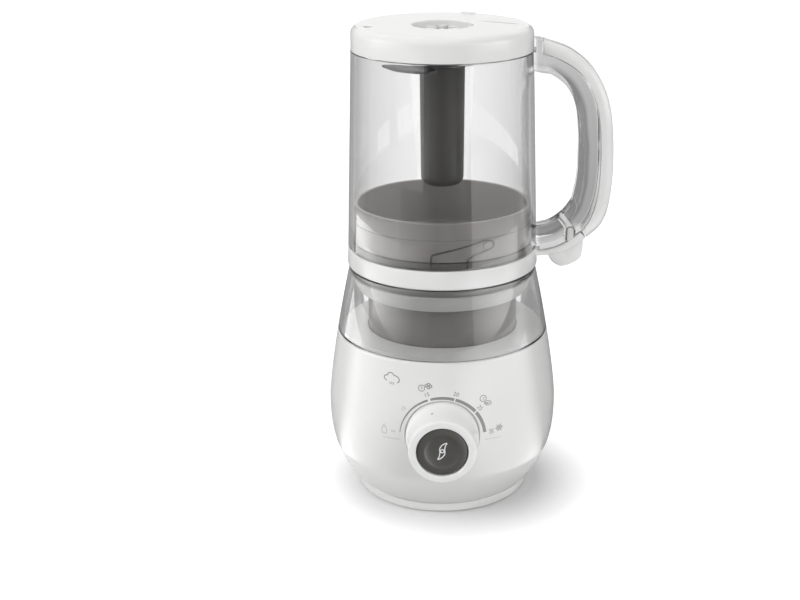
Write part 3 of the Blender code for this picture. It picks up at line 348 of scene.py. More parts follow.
def stroke(points, width, smooth=0):
    """A printed line through points in millimetres, straight from one to the next or as a run of so many points."""
    path = np.array(points) / 1000
    return ink_line(run(path, smooth) if smooth else path, width)


def ring_path(radius, count=28, centre=(0, 0)):
    """A circle about a centre: u = r cos a, v = r sin a."""
    a = np.linspace(0, 2 * np.pi, count, endpoint=False)
    return np.stack([centre[0] + radius * np.cos(a), centre[1] + radius * np.sin(a)], -1)


def figure(words, size):
    """A figure's outline filled and given the film's thickness, centred on its own middle."""
    letters = bpy.data.curves.new("figure", "FONT")
    letters.body, letters.size = words, size
    letters.align_x, letters.align_y = "CENTER", "CENTER"
    letters.extrude = (INK_TOP - INK_UNDER) / 2
    letters.resolution_u = 4
    guide = bpy.data.objects.new("figure", letters)
    bpy.context.scene.collection.objects.link(guide)
    bpy.context.view_layer.update()
    mesh = bpy.data.meshes.new_from_object(guide.evaluated_get(bpy.context.evaluated_depsgraph_get()))
    points = np.empty(len(mesh.vertices) * 3)
    mesh.vertices.foreach_get("co", points)
    faces = [list(face.vertices) for face in mesh.polygons]
    bpy.data.objects.remove(guide)
    return points.reshape(-1, 3) + [0, 0, (INK_TOP + INK_UNDER) / 2], faces


def on_dial(part, centre=(0, 0), tilt=0):
    """A flat print turned by the tilt, moved to its centre on the dial and laid on the body, film outward."""
    flat, faces = part
    u, v, film = flat[..., 0], flat[..., 1], flat[..., 2]
    c, s = math.cos(math.radians(tilt)), math.sin(math.radians(tilt))
    x, z = centre[0] + u * c + v * s, KNOB_Z + centre[1] - u * s + v * c
    y = -np.sqrt(egg_radius(z) ** 2 - x ** 2) - film
    return np.stack([x, y, z], -1), faces


# Printing lacquer in grey, pale grey and white: a thin, slightly uneven film, duller than the gloss skin under it.
grey_lacquer, pale_lacquer, white_lacquer = (
    grained(f"{strength}_printing_lacquer", dense, thin, 0.0006, 0.42, IOR=1.50) for strength, dense, thin in (
        ("grey", "#868686", "#949494"), ("pale", "#b8b8b8", "#c8c8c8"), ("white", "#f4f4f4", "#fafafa"),
    )
)

swept = np.linspace(-84, 84, 90)
band = DIAL_R * np.stack([np.sin(np.radians(swept)), np.cos(np.radians(swept))], -1) - [0, DIAL_DROP]
band_width = np.interp(swept, [-84, -40, 0, 60, 84], [0.0004, 0.0009, 0.0016, 0.0019, 0.0018])
STRETCHES = ((-85, -19), (-16.5, 16.5), (17.5, 50.5), (51.8, 85))
stretches = [(swept > low) & (swept < high) for low, high in STRETCHES]
band_parts = [on_dial(ink_line(band[part], band_width[part])) for part in stretches]
make_piece("dial_band", band_parts, grey_lacquer, "base")

figures = []
for words, deg, reach in (
    ("5", -85, 0.0286), ("10", -53, 0.0281), ("15", -18.5, 0.0280), ("20", 16.5, 0.0280), ("25", 51, 0.0280),
    ("30", 85, 0.0286),
):
    centre = (reach * math.sin(math.radians(deg)), reach * math.cos(math.radians(deg)) - DIAL_DROP)
    figures.append(on_dial(figure(words, FIGURE_SIZE), centre, deg))
make_piece("dial_figures_low", figures[:2], pale_lacquer, "base", crease=20)
make_piece("dial_figures_high", figures[2:], grey_lacquer, "base", crease=20)

CLOUD = (
    (-2.9, -1.9), (-4.0, -1.2), (-4.4, 0.0), (-3.8, 1.0), (-2.6, 1.2), (-2.1, 2.3), (-0.8, 3.0), (0.6, 2.7),
    (1.3, 1.8), (2.7, 1.5), (3.9, 0.7), (4.4, -0.5), (4.0, -1.7), (3.0, -2.3),
)
LEAF = ((0.4, -1.3), (0.6, 0.5), (2.0, 1.7), (3.6, 1.6), (3.5, 0.0), (2.2, -1.2), (0.4, -1.3))
BOTTLE = ((-1.2, -2.6), (-1.4, 0.2), (-0.9, 1.1), (0.9, 1.1), (1.4, 0.2), (1.2, -2.6), (-1.2, -2.6))
PODS = ((0.0010, 0.0007), (0.0024, 0.0010), (0.0018, -0.0006), (0.0032, -0.0003))
END_LINE = ((-34.4, -3.6), (-29.0, -3.3), (-24.6, -3.1))
FLAKE_ARM, FLAKE_TWIG, FLAKE_SPREAD = 0.0024, 0.0017, 0.45
cloud = [stroke(CLOUD, 0.00055, 60)]
cloud += [stroke([(x, -2.3), (x, -3.2), (x + 0.2, -3.7)], THIN_LINE) for x in (-1.1, 0.0, 1.1)]
clock = [
    ink_line(ring_path(0.0018, centre=(-0.0021, 0)), THIN_LINE, closed=True),
    stroke([(-2.1, 1.1), (-2.1, 0.0), (-1.5, -0.5)], THIN_LINE),
]
pods = [ink_line(ring_path(0.00075, 16, spot), 0.0005, closed=True) for spot in PODS]
leaf = [
    stroke(LEAF, THIN_LINE, 40), stroke([(0.4, -1.3), (1.8, 0.1), (2.9, 1.0)], THIN_LINE),
    stroke([(1.7, -0.7), (2.4, 0.4)], 0.0006),
]
arms = [np.array([np.cos(a), np.sin(a)]) for a in np.radians(np.arange(0, 360, 60) + 30)]
flake = [ink_line(np.outer(np.linspace(-1, 1, 5), FLAKE_ARM * arm), FINE_LINE) for arm in arms[:3]]
for a in np.radians(np.arange(0, 360, 60) + 30):
    for tip in (a - FLAKE_SPREAD, a + FLAKE_SPREAD):
        twig = np.array([(np.cos(tip), np.sin(tip)), (0.6 * np.cos(a), 0.6 * np.sin(a))])
        flake.append(ink_line(FLAKE_TWIG * twig, FINE_LINE))
bottle = [stroke(BOTTLE, THIN_LINE, 50), stroke([(-0.7, 1.7), (0.0, 2.9), (0.7, 1.7)], THIN_LINE)]
for name, lines, centre, tilt, ink in (
    ("steam_pictogram", cloud, (-0.0292, 0.0329), 0, grey_lacquer),
    ("steam_pods_pictogram", clock + pods, (-0.0099, 0.0299), -17, grey_lacquer),
    ("steam_leaf_pictogram", clock + leaf, (0.0249, 0.0203), 51, grey_lacquer),
    ("thaw_pictogram", flake, (0.0331, 0.0026), 86, grey_lacquer),
    ("warm_pictogram", bottle, (-0.0339, 0.0018), 0, pale_lacquer),
):
    make_piece(name, [on_dial(line, centre, tilt) for line in lines], ink, "base")
end_lines = [on_dial(stroke(np.array(END_LINE) * [side, 1], HAIR_LINE, 14)) for side in (1, -1)]
make_piece("dial_end_lines", end_lines, pale_lacquer, "base")

# Base plate and feet: a white ABS plate closes the housing from below, centred by its rim in the flange.
# Four rubber feet sit in round recesses on the diagonals, four countersunk screws between them.
PLATE_R, PLATE_UNDER, PLATE_TOP = 0.0529, 0.0008, 0.0060
RIM_R, RIM_INSIDE_R, RIM_TOP = 0.0375, 0.0350, 0.0096
FOOT_R, FOOT_TOP, FOOT_CIRCLE_R, FOOT_DEG, FOOT_GAP = 0.0060, 0.0019, 0.0410, 45, 0.0003
FOOT_RECESS_TOP, HEAD_RECESS_TOP = 0.0022, 0.0048
SCREW_CIRCLE_R, SCREW_DEG, HEAD_RECESS_R = 0.0445, 11.0, 0.0034


def at(radius, deg, z=0.0):
    """The point at a radius, an angle round Z and a height."""
    return np.array([radius * math.cos(math.radians(deg)), radius * math.sin(math.radians(deg)), z])


def out_from(centre, rim):
    """Unit steps in the X-Y plane from a centre towards each point of a rim."""
    angle = np.arctan2(rim[:, 1] - centre[1], rim[:, 0] - centre[0])
    return np.stack([np.cos(angle), np.sin(angle), np.zeros_like(angle)], -1)


def rounded(corners, closed=True, per_bend=7):
    """A run through corners (across, along, bend): each bend is a parabola that leaves its sides that far away."""
    corners = np.asarray(corners, float)
    point, bend = corners[:, :2], corners[:, 2:]
    before, after = np.roll(point, 1, 0), np.roll(point, -1, 0)
    if not closed:
        before[0], after[-1] = point[0], point[-1]
    start, end = (
        point + bend * (other - point) / np.maximum(np.linalg.norm(other - point, axis=1, keepdims=True), 1e-9)
        for other in (before, after)
    )
    s = np.linspace(0, 1, per_bend)[None, :, None]
    bends = (1 - s) ** 2 * start[:, None] + 2 * s * (1 - s) * point[:, None] + s ** 2 * end[:, None]
    return bends.reshape(-1, 2)


def turned_piece(name, corners, finish, body, stands_for=(), steps=ROUND, move=None):
    """A turned piece: rounded corners (radius, height, bend) carried round Z, closed at the axis or as a ring."""
    ring = corners[0][0] > 0
    points = turn(rounded(corners, closed=ring), steps)
    return make_piece(name, [net(move(points) if move else points, ring)], finish, body, stands_for)


spokes = np.arange(0.0335, 0.0486, 0.0015)
plate = turn(np.concatenate([
    [(0.0, PLATE_UNDER), (0.015, PLATE_UNDER)], np.stack([spokes, np.full_like(spokes, PLATE_UNDER)], -1),
    rounded([
        (0.0510, PLATE_UNDER, 0), (PLATE_R, PLATE_UNDER, 0.0010), (PLATE_R, PLATE_TOP, 0.0006), (RIM_R, PLATE_TOP, 0),
    ], closed=False),
    rounded([
        (RIM_R, RIM_TOP, 0.0004), (RIM_INSIDE_R, RIM_TOP, 0.0004), (RIM_INSIDE_R, PLATE_TOP, 0), (0.0, PLATE_TOP, 0),
    ], closed=False),
]))
first_spoke, last_spoke = 2, 1 + len(spokes)
recesses, blocks = [], []
for i in range(4):
    quarter = i * ROUND // 4
    for reach, deg, radius, top, rows, (left, right) in (
        (FOOT_CIRCLE_R, FOOT_DEG, FOOT_R + FOOT_GAP, FOOT_RECESS_TOP, (first_spoke, last_spoke), (18, 30)),
        (SCREW_CIRCLE_R, SCREW_DEG, HEAD_RECESS_R, HEAD_RECESS_TOP, (first_spoke + 4, last_spoke), (2, 10)),
    ):
        blocks.append((rows, (quarter + left, quarter + right)))
        middle, rim = at(reach, deg + 90 * i), edge_of_block(plate, *blocks[-1])
        mouth, wall_top, centre = (
            middle + out_from(middle, rim) * r + [0, 0, z]
            for r, z in ((radius, PLATE_UNDER), (radius, top), (0, top))
        )
        recesses.append(net(np.concatenate([[rim], between(rim, mouth, 3), [wall_top, centre]])))
plate_parts = [net(plate, blocks=blocks), *recesses]
make_piece("underside_plate", plate_parts, white_abs, "base", ["base_plate"])

# Moulded rubber: matt black with a fine dusty grain that breaks up any highlight.
rubber = grained("moulded_black_rubber", "#26262a", "#34343a", 0.0004, 0.75, (0.3, 0.00005), detail=4.0, IOR=1.52)
for i in range(4):
    turned_piece(
        f"rubber_foot_{i + 1}",
        [
            (0, 0.0003, 0), (0.0030, 0.0003, 0.0004), (0.0036, 0, 0.0004), (FOOT_R, 0, 0.0008),
            (FOOT_R, FOOT_TOP, 0.0002), (0, FOOT_TOP, 0),
        ],
        rubber, "base", [f"foot_{i + 1}"], steps=64,
        move=lambda points: points + at(FOOT_CIRCLE_R, FOOT_DEG + 90 * i),
    )

# Metal parts: brushed stainless steel for the screws and shafts, with hair-fine lines along the part.
steel = grained(
    "brushed_stainless_steel", "#b4b4b6", "#cbcbcc", (0.0002, 0.004, 0.0002), (0.18, 0.34), (0.08, 0.00002),
    Metallic=1.0,
)


def dress(finish, *nodes):
    """Gives the named CAD nodes a finish."""
    for node in nodes:
        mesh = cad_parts[node].data
        mesh.materials.clear()
        mesh.materials.append(finish)


dress(steel, "plate_screw_1", "plate_screw_2", "plate_screw_3", "plate_screw_4", "motor_shaft", "blade_shaft")
dress(steel, "motor_bracket", "motor_can", "motor_field", "heating_element")

# Drive and heater inside the housing, never seen: oiled bronze bushes, a varnished copper winding, a cast
# aluminium boiler, silicone hoses, and a lacquered board with its switch and timer.
for name, nodes, light, dark, metal, rough, grain in (
    ("sintered_bronze", ("upper_bush", "lower_bush"), "#b08850", "#8f6a3a", 1.0, 0.42, 0.0003),
    ("oil_blackened_bronze", ("blade_bush",), "#3a342c", "#2a2520", 1.0, 0.45, 0.0003),
    ("varnished_copper_winding", ("armature",), "#c06f42", "#8d4526", 1.0, 0.38, 0.0005),
    ("cast_aluminium", ("boiler",), "#bcbdc0", "#a2a3a6", 1.0, 0.48, 0.0009),
    ("translucent_silicone", ("steam_pipe", "water_pipe"), "#dadad6", "#cfcfca", 0.0, 0.50, 0.0020),
    ("lacquered_circuit_board", ("control_board",), "#2f6b3c", "#1f4f2b", 0.0, 0.45, 0.0015),
):
    dress(grained(name, light, dark, grain, rough, (0.2, grain / 10), Metallic=metal), *nodes)

# Dark grey plastic, for the blend button, the blade hub and the lower coupling: nearly black, warm, with a fine
# satin spark that gives soft grey highlights.
dark_plastic = moulded("satin_dark_grey_polypropylene", "#504f4c", "#5a5955", (0.30, 0.42), 0.0005, 0.10, 1.49)
dress(dark_plastic, "motor_end_cap", "thermostat", "timer_body", "button_switch")

# Cord gland: a dark bush pressed into the back of the housing, with a rounded lip round the lead's bore.
turned_piece(
    "gland_bush",
    [
        (0.0040, 0.0525, 0.0003), (0.0064, 0.0525, 0.0004), (0.0064, 0.0542, 0.0004), (0.0055, 0.0542, 0.0002),
        (0.0055, 0.0660, 0.0010), (0.0040, 0.0660, 0.0005),
    ],
    dark_plastic, "base", ["cord_gland"], steps=64,
    move=lambda points: np.stack([points[..., 0], points[..., 2], GLAND_Z - points[..., 1]], -1),
)

# Water tank: the clear upper band of the egg, a polished ring in copolyester welded to the housing's deck.
# A white floor closes it from below and holds the water round the grey tower.
COLLAR_BOTTOM, TANK_FLOOR, COLLAR_LIP, COLLAR_WALL = 0.1021, 0.1042, 0.1424, 0.0024
TOWER_R, TOWER_WALL, TOWER_TOP, TOWER_BORE_R = 0.0450, 0.0025, 0.1276, 0.0072


# Clear copolyester: bends and mirrors what is round it like thick glass, with a trace of grey. Lamps pass through.
def clear_finish(name, thin, thick):
    """Clear plastic between its colour as a wall and its colour as the handle's thick bar, told apart by the reach
    past the jar's sloping wall, x + slope * z."""
    wall_slope, wall_reach, bar_reach = 0.0328, 0.0618, 0.0636
    finish = new_finish(name)
    place = add_node(finish, "ShaderNodeTexCoord").outputs["Object"]
    noise = add_node(finish, "ShaderNodeTexNoise", {"Scale": 1 / 0.018, "Detail": 1.0}, {"Vector": place})
    flow = noise.outputs["Fac"]
    polish = add_node(finish, "ShaderNodeMapRange", {"To Min": 0.010, "To Max": 0.035}, {"Value": flow})
    relief = add_node(finish, "ShaderNodeBump", {"Strength": 0.05, "Distance": 0.0003}, {"Height": flow})
    axes = add_node(finish, "ShaderNodeSeparateXYZ", links={"Vector": place})
    reach = add_node(
        finish, "ShaderNodeMath", {"operation": "MULTIPLY_ADD", 1: wall_slope},
        {0: axes.outputs["Z"], 2: axes.outputs["X"]},
    )
    depth = add_node(
        finish, "ShaderNodeMapRange", {"From Min": wall_reach, "From Max": bar_reach},
        {"Value": reach.outputs["Value"]},
    )
    tones = {"data_type": "RGBA", 6: linear(thin), 7: linear(thick)}
    tone = add_node(finish, "ShaderNodeMix", tones, {0: depth.outputs["Result"]})
    shader = add_node(
        finish, "ShaderNodeBsdfPrincipled", {"Transmission Weight": 1.0, "IOR": 1.56},
        {"Base Color": tone.outputs[2], "Roughness": polish.outputs["Result"], "Normal": relief.outputs["Normal"]},
    )
    lamp_light = add_node(finish, "ShaderNodeBsdfTransparent", {"Color": linear("#f9f9f9")})
    ray = add_node(finish, "ShaderNodeLightPath")
    body_or_lamp = add_node(
        finish, "ShaderNodeMixShader",
        links={0: ray.outputs["Is Shadow Ray"], 1: shader.outputs["BSDF"], 2: lamp_light.outputs["BSDF"]},
    )
    add_node(finish, "ShaderNodeOutputMaterial", links={"Surface": body_or_lamp.outputs["Shader"]})
    return finish


clear_plastic = clear_finish("clear_copolyester", "#f4f4f4", "#f4f4f4")
lip_start = COLLAR_TOP - 0.0008
rise = np.linspace(COLLAR_BOTTOM + 0.0003, lip_start, 24)
collar = turn(np.concatenate([
    [(egg_radius(COLLAR_BOTTOM) - 0.0003, COLLAR_BOTTOM)], np.stack([egg_radius(rise), rise], -1),
    rounded([
        (COLLAR_TOP_R + 0.0001, lip_start, 0), (COLLAR_TOP_R, COLLAR_LIP, 0.0006),
        (COLLAR_TOP_R - COLLAR_WALL, COLLAR_LIP, 0.0006), (COLLAR_TOP_R + 0.0001 - COLLAR_WALL, lip_start, 0),
    ], closed=False),
    np.stack([egg_radius(rise[::-1]) - COLLAR_WALL, rise[::-1]], -1),
    [(egg_radius(COLLAR_BOTTOM) - COLLAR_WALL + 0.0003, COLLAR_BOTTOM)],
]))
make_piece("collar_wall", [net(collar, True)], clear_plastic, "base", ["tank_collar"])
floor_edge, floor_hole = egg_radius(TANK_FLOOR) - COLLAR_WALL - 0.0001, TOWER_R + 0.0006
turned_piece(
    "tank_floor",
    [
        (floor_hole, TANK_FLOOR, 0.0003), (floor_edge, TANK_FLOOR, 0.0002), (floor_edge, COLLAR_BOTTOM, 0.0002),
        (floor_hole, COLLAR_BOTTOM, 0.0002),
    ],
    white_abs, "base",
)

# Grey tower: a satin grey ABS drum that stands in the tank over the motor, with the shaft's bore in its deck.
# Its nozzle lets the steam up into the jar and its rubber seal keeps water off the shaft.
NOZZLE_Y = 0.0300
grey_plastic = moulded("satin_grey_abs", "#8e8c88", "#969490", (0.28, 0.40), 0.0006, 0.05, 1.54)
turned_piece(
    "tower_drum",
    [
        (TOWER_BORE_R, TOWER_TOP, 0.0003), (TOWER_R, TOWER_TOP, 0.0012), (TOWER_R, COLLAR_BOTTOM, 0.0003),
        (TOWER_R - TOWER_WALL, COLLAR_BOTTOM, 0.0003), (TOWER_R - TOWER_WALL, TOWER_TOP - TOWER_WALL, 0.0010),
        (TOWER_BORE_R, TOWER_TOP - TOWER_WALL, 0.0003),
    ],
    grey_plastic, "base", ["inner_tower"],
)
turned_piece(
    "tower_seal",
    [
        (0.0035, 0.1286, 0.0002), (0.0088, 0.1286, 0.0004), (0.0088, 0.1279, 0.0002), (0.0069, 0.1279, 0.0001),
        (0.0069, 0.1242, 0.0003), (0.0035, 0.1242, 0.0003),
    ],
    rubber, "base", ["tower_shaft_seal"], steps=64,
)

# Seat ring: a pale grey satin ring on the tower's edge that carries the jar's lid and centres it.
# The nozzle's head beside it is moulded in the same plastic.
pale_plastic = moulded("satin_pale_grey_abs", "#dadad8", "#e0e0de", (0.26, 0.36), 0.0007, 0.05, 1.54)
turned_piece(
    "lid_seat",
    [
        (0.0519, 0.1378, 0.0008), (0.0539, 0.1378, 0.0008), (0.0534, 0.1347, 0.0016), (0.0502, 0.1279, 0.0014),
        (0.0432, 0.1279, 0.0006), (0.0432, 0.1299, 0.0008), (0.0482, 0.1299, 0.0014), (0.0512, 0.1347, 0.0014),
    ],
    pale_plastic, "base", ["seat_ring"],
)
turned_piece(
    "nozzle_head",
    [
        (0.0020, 0.1316, 0.0004), (0.0050, 0.1316, 0.0004), (0.0068, 0.1301, 0.0006), (0.0068, 0.1279, 0.0003),
        (0.0041, 0.1279, 0.0002), (0.0041, 0.1206, 0.0003), (0.0020, 0.1206, 0.0003),
    ],
    pale_plastic, "base", ["steam_nozzle"], steps=64,
    move=lambda points: points + [0, NOZZLE_Y, 0],
)

# Couplings: two glass-filled mouldings with six dogs each. The lower one is pressed on the motor's shaft, the
# upper one on the blade's shaft in the cap's well, and the dogs mesh when the jar stands the other way up.
SLOT_HALF, SOCKET_DEPTH, DOG_BEVEL, SHAFT_FIT_R = 0.0016, 0.0007, 0.0003, 0.0033
for name, body, node, finish, slot, radius, socket_r, low, shaft_end, socket, high in (
    (
        "drive_dogs", "rotor", "drive_coupling", dark_plastic, "dark_grey_plastic",
        0.0095, 0.0060, 0.1296, 0.1336, 0.1361, 0.1406,
    ),
    (
        "driven_dogs", "blade", "driven_coupling", pale_plastic, "pale_grey_plastic",
        0.0100, 0.0040, 0.2751, 0.2780, 0.2796, 0.2828,
    ),
):
    floor = socket + SOCKET_DEPTH
    sleeve = turn(rounded([
        (0, socket, 0), (socket_r, socket, 0.0002), (socket_r, floor, 0.0002), (radius, floor, 0.0003),
        (radius, low, 0.0005), (SHAFT_FIT_R, low, 0.0002), (SHAFT_FIT_R, shaft_end, 0.0002), (0, shaft_end, 0),
    ], closed=False), 96)
    parts = [net(sleeve)]
    # A dog's outline: radius and share of its half width. Its sides stay half a slot from the slots' middles.
    side_r, across = np.linspace(socket_r, radius, 6), np.linspace(-1, 1, 9)[1:-1]
    outline_r = np.concatenate([side_r, np.full(7, radius), side_r[::-1], np.full(7, socket_r)])
    outline_u = np.concatenate([np.full(6, -1.0), across, np.full(6, 1.0), across[::-1]])
    for i in range(6):
        dog = []
        for inward, width, height in (
            (0, 1, floor - 0.0004), (0, 1, high - 0.0005), (DOG_BEVEL / (radius - socket_r), 0.976, high),
            (0.9, 0.1, high),
        ):
            r = outline_r + ((radius + socket_r) / 2 - outline_r) * inward
            a = np.radians(60 * i + 30) + outline_u * (np.pi / 6 - np.arcsin(SLOT_HALF / r)) * width
            dog.append(np.stack([r * np.cos(a), r * np.sin(a), np.full_like(r, height)], -1))
        parts.append(capped(np.array(dog)))
    make_piece(name, parts, finish, body, [node])

# Timer knob: a hollow white acetal cone with a soft waist, turned in its pocket on a hub that drives the timer.
# A small grey dot on the shoulder points at the minutes.
KNOB_DEPTH, KNOB_FRONT_R, KNOB_SKIRT_R, BUTTON_WELL_R = 0.0254, 0.0193, 0.0213, 0.0149
POINTER_DEG, POINTER_OUT, POINTER_R = -17.0, 0.0135, 0.0007


def on_knob_axis(points):
    """Turned points set on the knob's axis: their height runs out of the front, their Y runs up."""
    return np.stack([points[..., 0], POCKET_Y - points[..., 2], KNOB_Z + points[..., 1]], -1)


waist = run([
    (KNOB_FRONT_R, 0.0240), (0.0194, 0.0220), (0.0196, 0.0155), (0.0201, 0.0100), (0.0208, 0.0068),
    (KNOB_SKIRT_R, 0.0052),
], 40)
knob = on_knob_axis(turn(np.concatenate([
    rounded([
        (BUTTON_WELL_R, 0.0130, 0), (BUTTON_WELL_R, KNOB_DEPTH, 0.0008), (KNOB_FRONT_R, KNOB_DEPTH, 0.0013),
        (*waist[0], 0),
    ], closed=False),
    waist,
    rounded([
        (KNOB_SKIRT_R, 0.0046, 0.0004), (KNOB_SKIRT_R, 0.0005, 0.0005), (0.0189, 0.0005, 0.0003),
        (0.0183, 0.0070, 0.0006), (0.0070, 0.0078, 0.0004), (0.0070, -0.0130, 0.0004), (0.0042, -0.0130, 0.0002),
        (0.0042, 0.0106, 0.0003), (BUTTON_WELL_R, 0.0106, 0.0008),
    ], closed=False),
])))
# Satin white acetal with a softer sheen. Its white is lighter than the housing's: painted light, for the brighter
# light the knob catches.
white_acetal = moulded("satin_white_acetal_painted_light", "#f9f9f8", "#fcfcfb", (0.16, 0.24), 0.0009, 0.05, 1.48)
make_piece("knob_body", [net(knob, True)], white_acetal, "knob", ["control_knob"])
spin = np.linspace(0, 2 * np.pi, 24, endpoint=False)
share = np.array([0.0, 0.5, 0.9, 1.0, 1.0, 0.0])[:, None]
film = np.array([1, 1, 1, 0.7, -1, -1])[:, None] * INK_TOP
out = POINTER_OUT + POINTER_R * share * np.sin(spin)
reach = np.interp(out, waist[::-1, 1], waist[::-1, 0]) + film
bearing = math.radians(90 - POINTER_DEG) - POINTER_R * share * np.cos(spin) / reach
pointer = on_knob_axis(np.stack([reach * np.cos(bearing), reach * np.sin(bearing), out], -1))
make_piece("knob_pointer", [net(pointer)], grey_lacquer, "knob")

# Blend button: a dished dark grey cap in the knob's front with a raised ring, pressed against a coil spring.
# Its pictogram of a crossed blade is printed in white.
DISH_R = np.array([0.0, 0.0030, 0.0055, 0.0075, 0.0090, 0.0098, 0.0104, 0.0112, 0.0122, 0.0134])
DISH_OUT = np.array([0.02290, 0.02295, 0.02310, 0.02340, 0.02385, 0.02430, 0.02460, 0.02468, 0.02465, 0.02448])
SPRING_R, SPRING_WIRE_R, SPRING_LOW, SPRING_HIGH, SPRING_TURNS = 0.0080, 0.0006, 0.0116, 0.0195, 4
SICKLE_SIGN = (
    (1.3, 0.4), (1.5, 2.0), (1.9, 3.6), (2.6, 5.0), (1.2, 4.6), (-0.2, 3.6), (-1.2, 2.2), (-1.5, 0.9), (-1.4, -0.3),
)
dish = run(np.stack([DISH_R, DISH_OUT], -1), 48)
dish[0, 0] = 0.0
button = on_knob_axis(turn(np.concatenate([
    dish,
    rounded([
        (0.0142, 0.0241, 0.0005), (0.0144, 0.0230, 0.0006), (0.0144, 0.0140, 0.0004), (0.0122, 0.0140, 0.0004),
        (0.0122, 0.0205, 0.0005), (0.0034, 0.0205, 0.0004), (0.0034, -0.0175, 0.0004), (0.0, -0.0175, 0),
    ], closed=False),
])))
make_piece("button_cap", [net(button)], dark_plastic, "button", ["blend_button"])


def wire(centre, radius, out):
    """A round wire along a path of points: its section is a circle spanned by the given way out at each point and the
    way across both that and the path."""
    along = np.gradient(centre, axis=0)
    along /= np.linalg.norm(along, axis=1, keepdims=True)
    across = np.cross(along, out)
    a = np.linspace(0, 2 * np.pi, 12, endpoint=False)[:, None]
    return capped(centre[:, None] + radius * (np.cos(a) * out[:, None] + np.sin(a) * across[:, None]))


t = np.linspace(0, 2 * np.pi * SPRING_TURNS, 48 * SPRING_TURNS + 1)
out = np.stack([np.cos(t), np.sin(t), np.zeros_like(t)], -1)
rise = np.linspace(SPRING_LOW, SPRING_HIGH, t.size)[:, None] * [0, 0, 1]
coil, coil_faces = wire(SPRING_R * out + rise, SPRING_WIRE_R, out)
spring = make_piece(
    "button_coil", [(on_knob_axis(coil), coil_faces)], steel, "base", ["button_spring"],
)
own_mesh(spring)


def on_button(part):
    """A flat print laid in the button's dish, film outward."""
    flat, faces = part
    out = np.interp(np.hypot(flat[..., 0], flat[..., 1]), dish[:, 0], dish[:, 1]) + flat[..., 2]
    return np.stack([flat[..., 0], POCKET_Y - out, KNOB_Z + flat[..., 1]], -1), faces


sign = [stroke(np.array(SICKLE_SIGN) * side, 0.0006, 44) for side in (1, -1)]
sign.append(ink_line(ring_path(0.0010), 0.0006, closed=True))
make_piece("blend_pictogram", [on_button(line) for line in sign], white_lacquer, "button")

# Lid: a satin grey cup that stands in the jar's mouth, with a groove, two bayonet lugs and a spigot below that
# drops into the seat ring. A strainer on its floor spreads the steam.
CUP_WALL_R, CUP_INSIDE_R, GROOVE_R, CUP_STEP_R, CUP_TOP = 0.0524, 0.0500, 0.0520, 0.0505, 0.1816
STRAINER_R, LOCK_LUG_Z, LOCK_LUG_DEG, LOCK_LUG_STRETCH = 0.0060, 0.1671, -60.6, 1.3

# Warm grey polypropylene: a soft sheen that shows the bright cards as clear upright bands.
cup_plastic = moulded("satin_warm_grey_polypropylene", "#a8a5a2", "#b0adaa", (0.16, 0.22), 0.0006, 0.03, 1.49)
turned_piece(
    "cup_wall",
    [
        (CUP_INSIDE_R, CUP_TOP, 0.0008), (CUP_WALL_R, CUP_TOP, 0.0010), (CUP_WALL_R, 0.1718, 0.0002),
        (GROOVE_R, 0.1716, 0.0001), (GROOVE_R, 0.1713, 0.0001), (CUP_WALL_R, 0.1711, 0.0002),
        (CUP_WALL_R, 0.1586, 0.0006), (CUP_STEP_R, 0.1586, 0.0004), (CUP_STEP_R, 0.1514, 0.0004),
        (STRAINER_R, 0.1514, 0.0003), (STRAINER_R, 0.1539, 0.0004), (CUP_INSIDE_R, 0.1539, 0.0016),
    ],
    cup_plastic, "lid", ["lid_cup"],
)
# The spigot is moulded with the grey cup but given the lighter pale grey: painted light that lifts it out of the
# shade under the ring.
turned_piece(
    "spigot_wall",
    [
        (0.0453, 0.1511, 0.0003), (CUP_STEP_R, 0.1511, 0.0003), (CUP_STEP_R, 0.1496, 0.0004),
        (0.0478, 0.1496, 0.0008), (0.0478, 0.1302, 0.0010), (0.0453, 0.1302, 0.0008),
    ],
    pale_plastic, "lid", ["lid_spigot"],
)
dress(grey_plastic, "steam_strainer")
lug = turn(rounded([
    (0, 0.0529, 0), (0.0026, 0.0529, 0.0003), (0.0028, 0.0512, 0.0003), (0, 0.0512, 0),
], closed=False), 48)
for i in range(2):
    outward, along = at(1, LOCK_LUG_DEG + 180 * i), at(1, LOCK_LUG_DEG + 180 * i + 90)
    upright = lug[..., 1:2] * [0, 0, 1] + [0, 0, LOCK_LUG_Z]
    placed = lug[..., 2:] * outward + LOCK_LUG_STRETCH * lug[..., :1] * along + upright
    make_piece(f"lock_lug_{i + 1}", [net(placed)], cup_plastic, "lid")

# Lid ring and lever: the white ABS ring below the jar, with a lever along the handle's foot, a thumb tab under
# it and a tongue that locks into the handle's slot. A silicone ring above it seals the jar's mouth.
LEVER_TOP = (
    (0.0552, 0.1520), (0.0600, 0.1522), (0.0665, 0.1538), (0.0713, 0.1558), (0.0755, 0.1585), (0.0818, 0.1634),
)
LEVER_UNDER = (
    (0.0552, 0.1488), (0.0620, 0.1493), (0.0680, 0.1506), (0.0750, 0.1532), (0.0815, 0.1570), (0.0851, 0.1600),
)
TAB = (
    (0.0626, 0.1498), (0.0652, 0.1454), (0.0685, 0.1427), (0.0720, 0.1418), (0.0775, 0.1436),
    (0.0822, 0.1468), (0.0834, 0.1501), (0.0834, 0.1588), (0.0760, 0.1551), (0.0670, 0.1521), (0.0626, 0.1498),
)
LEVER_HALF, LEVER_EDGE, TAB_HALF, TAB_EDGE = 0.0095, 0.0008, 0.0080, 0.0010


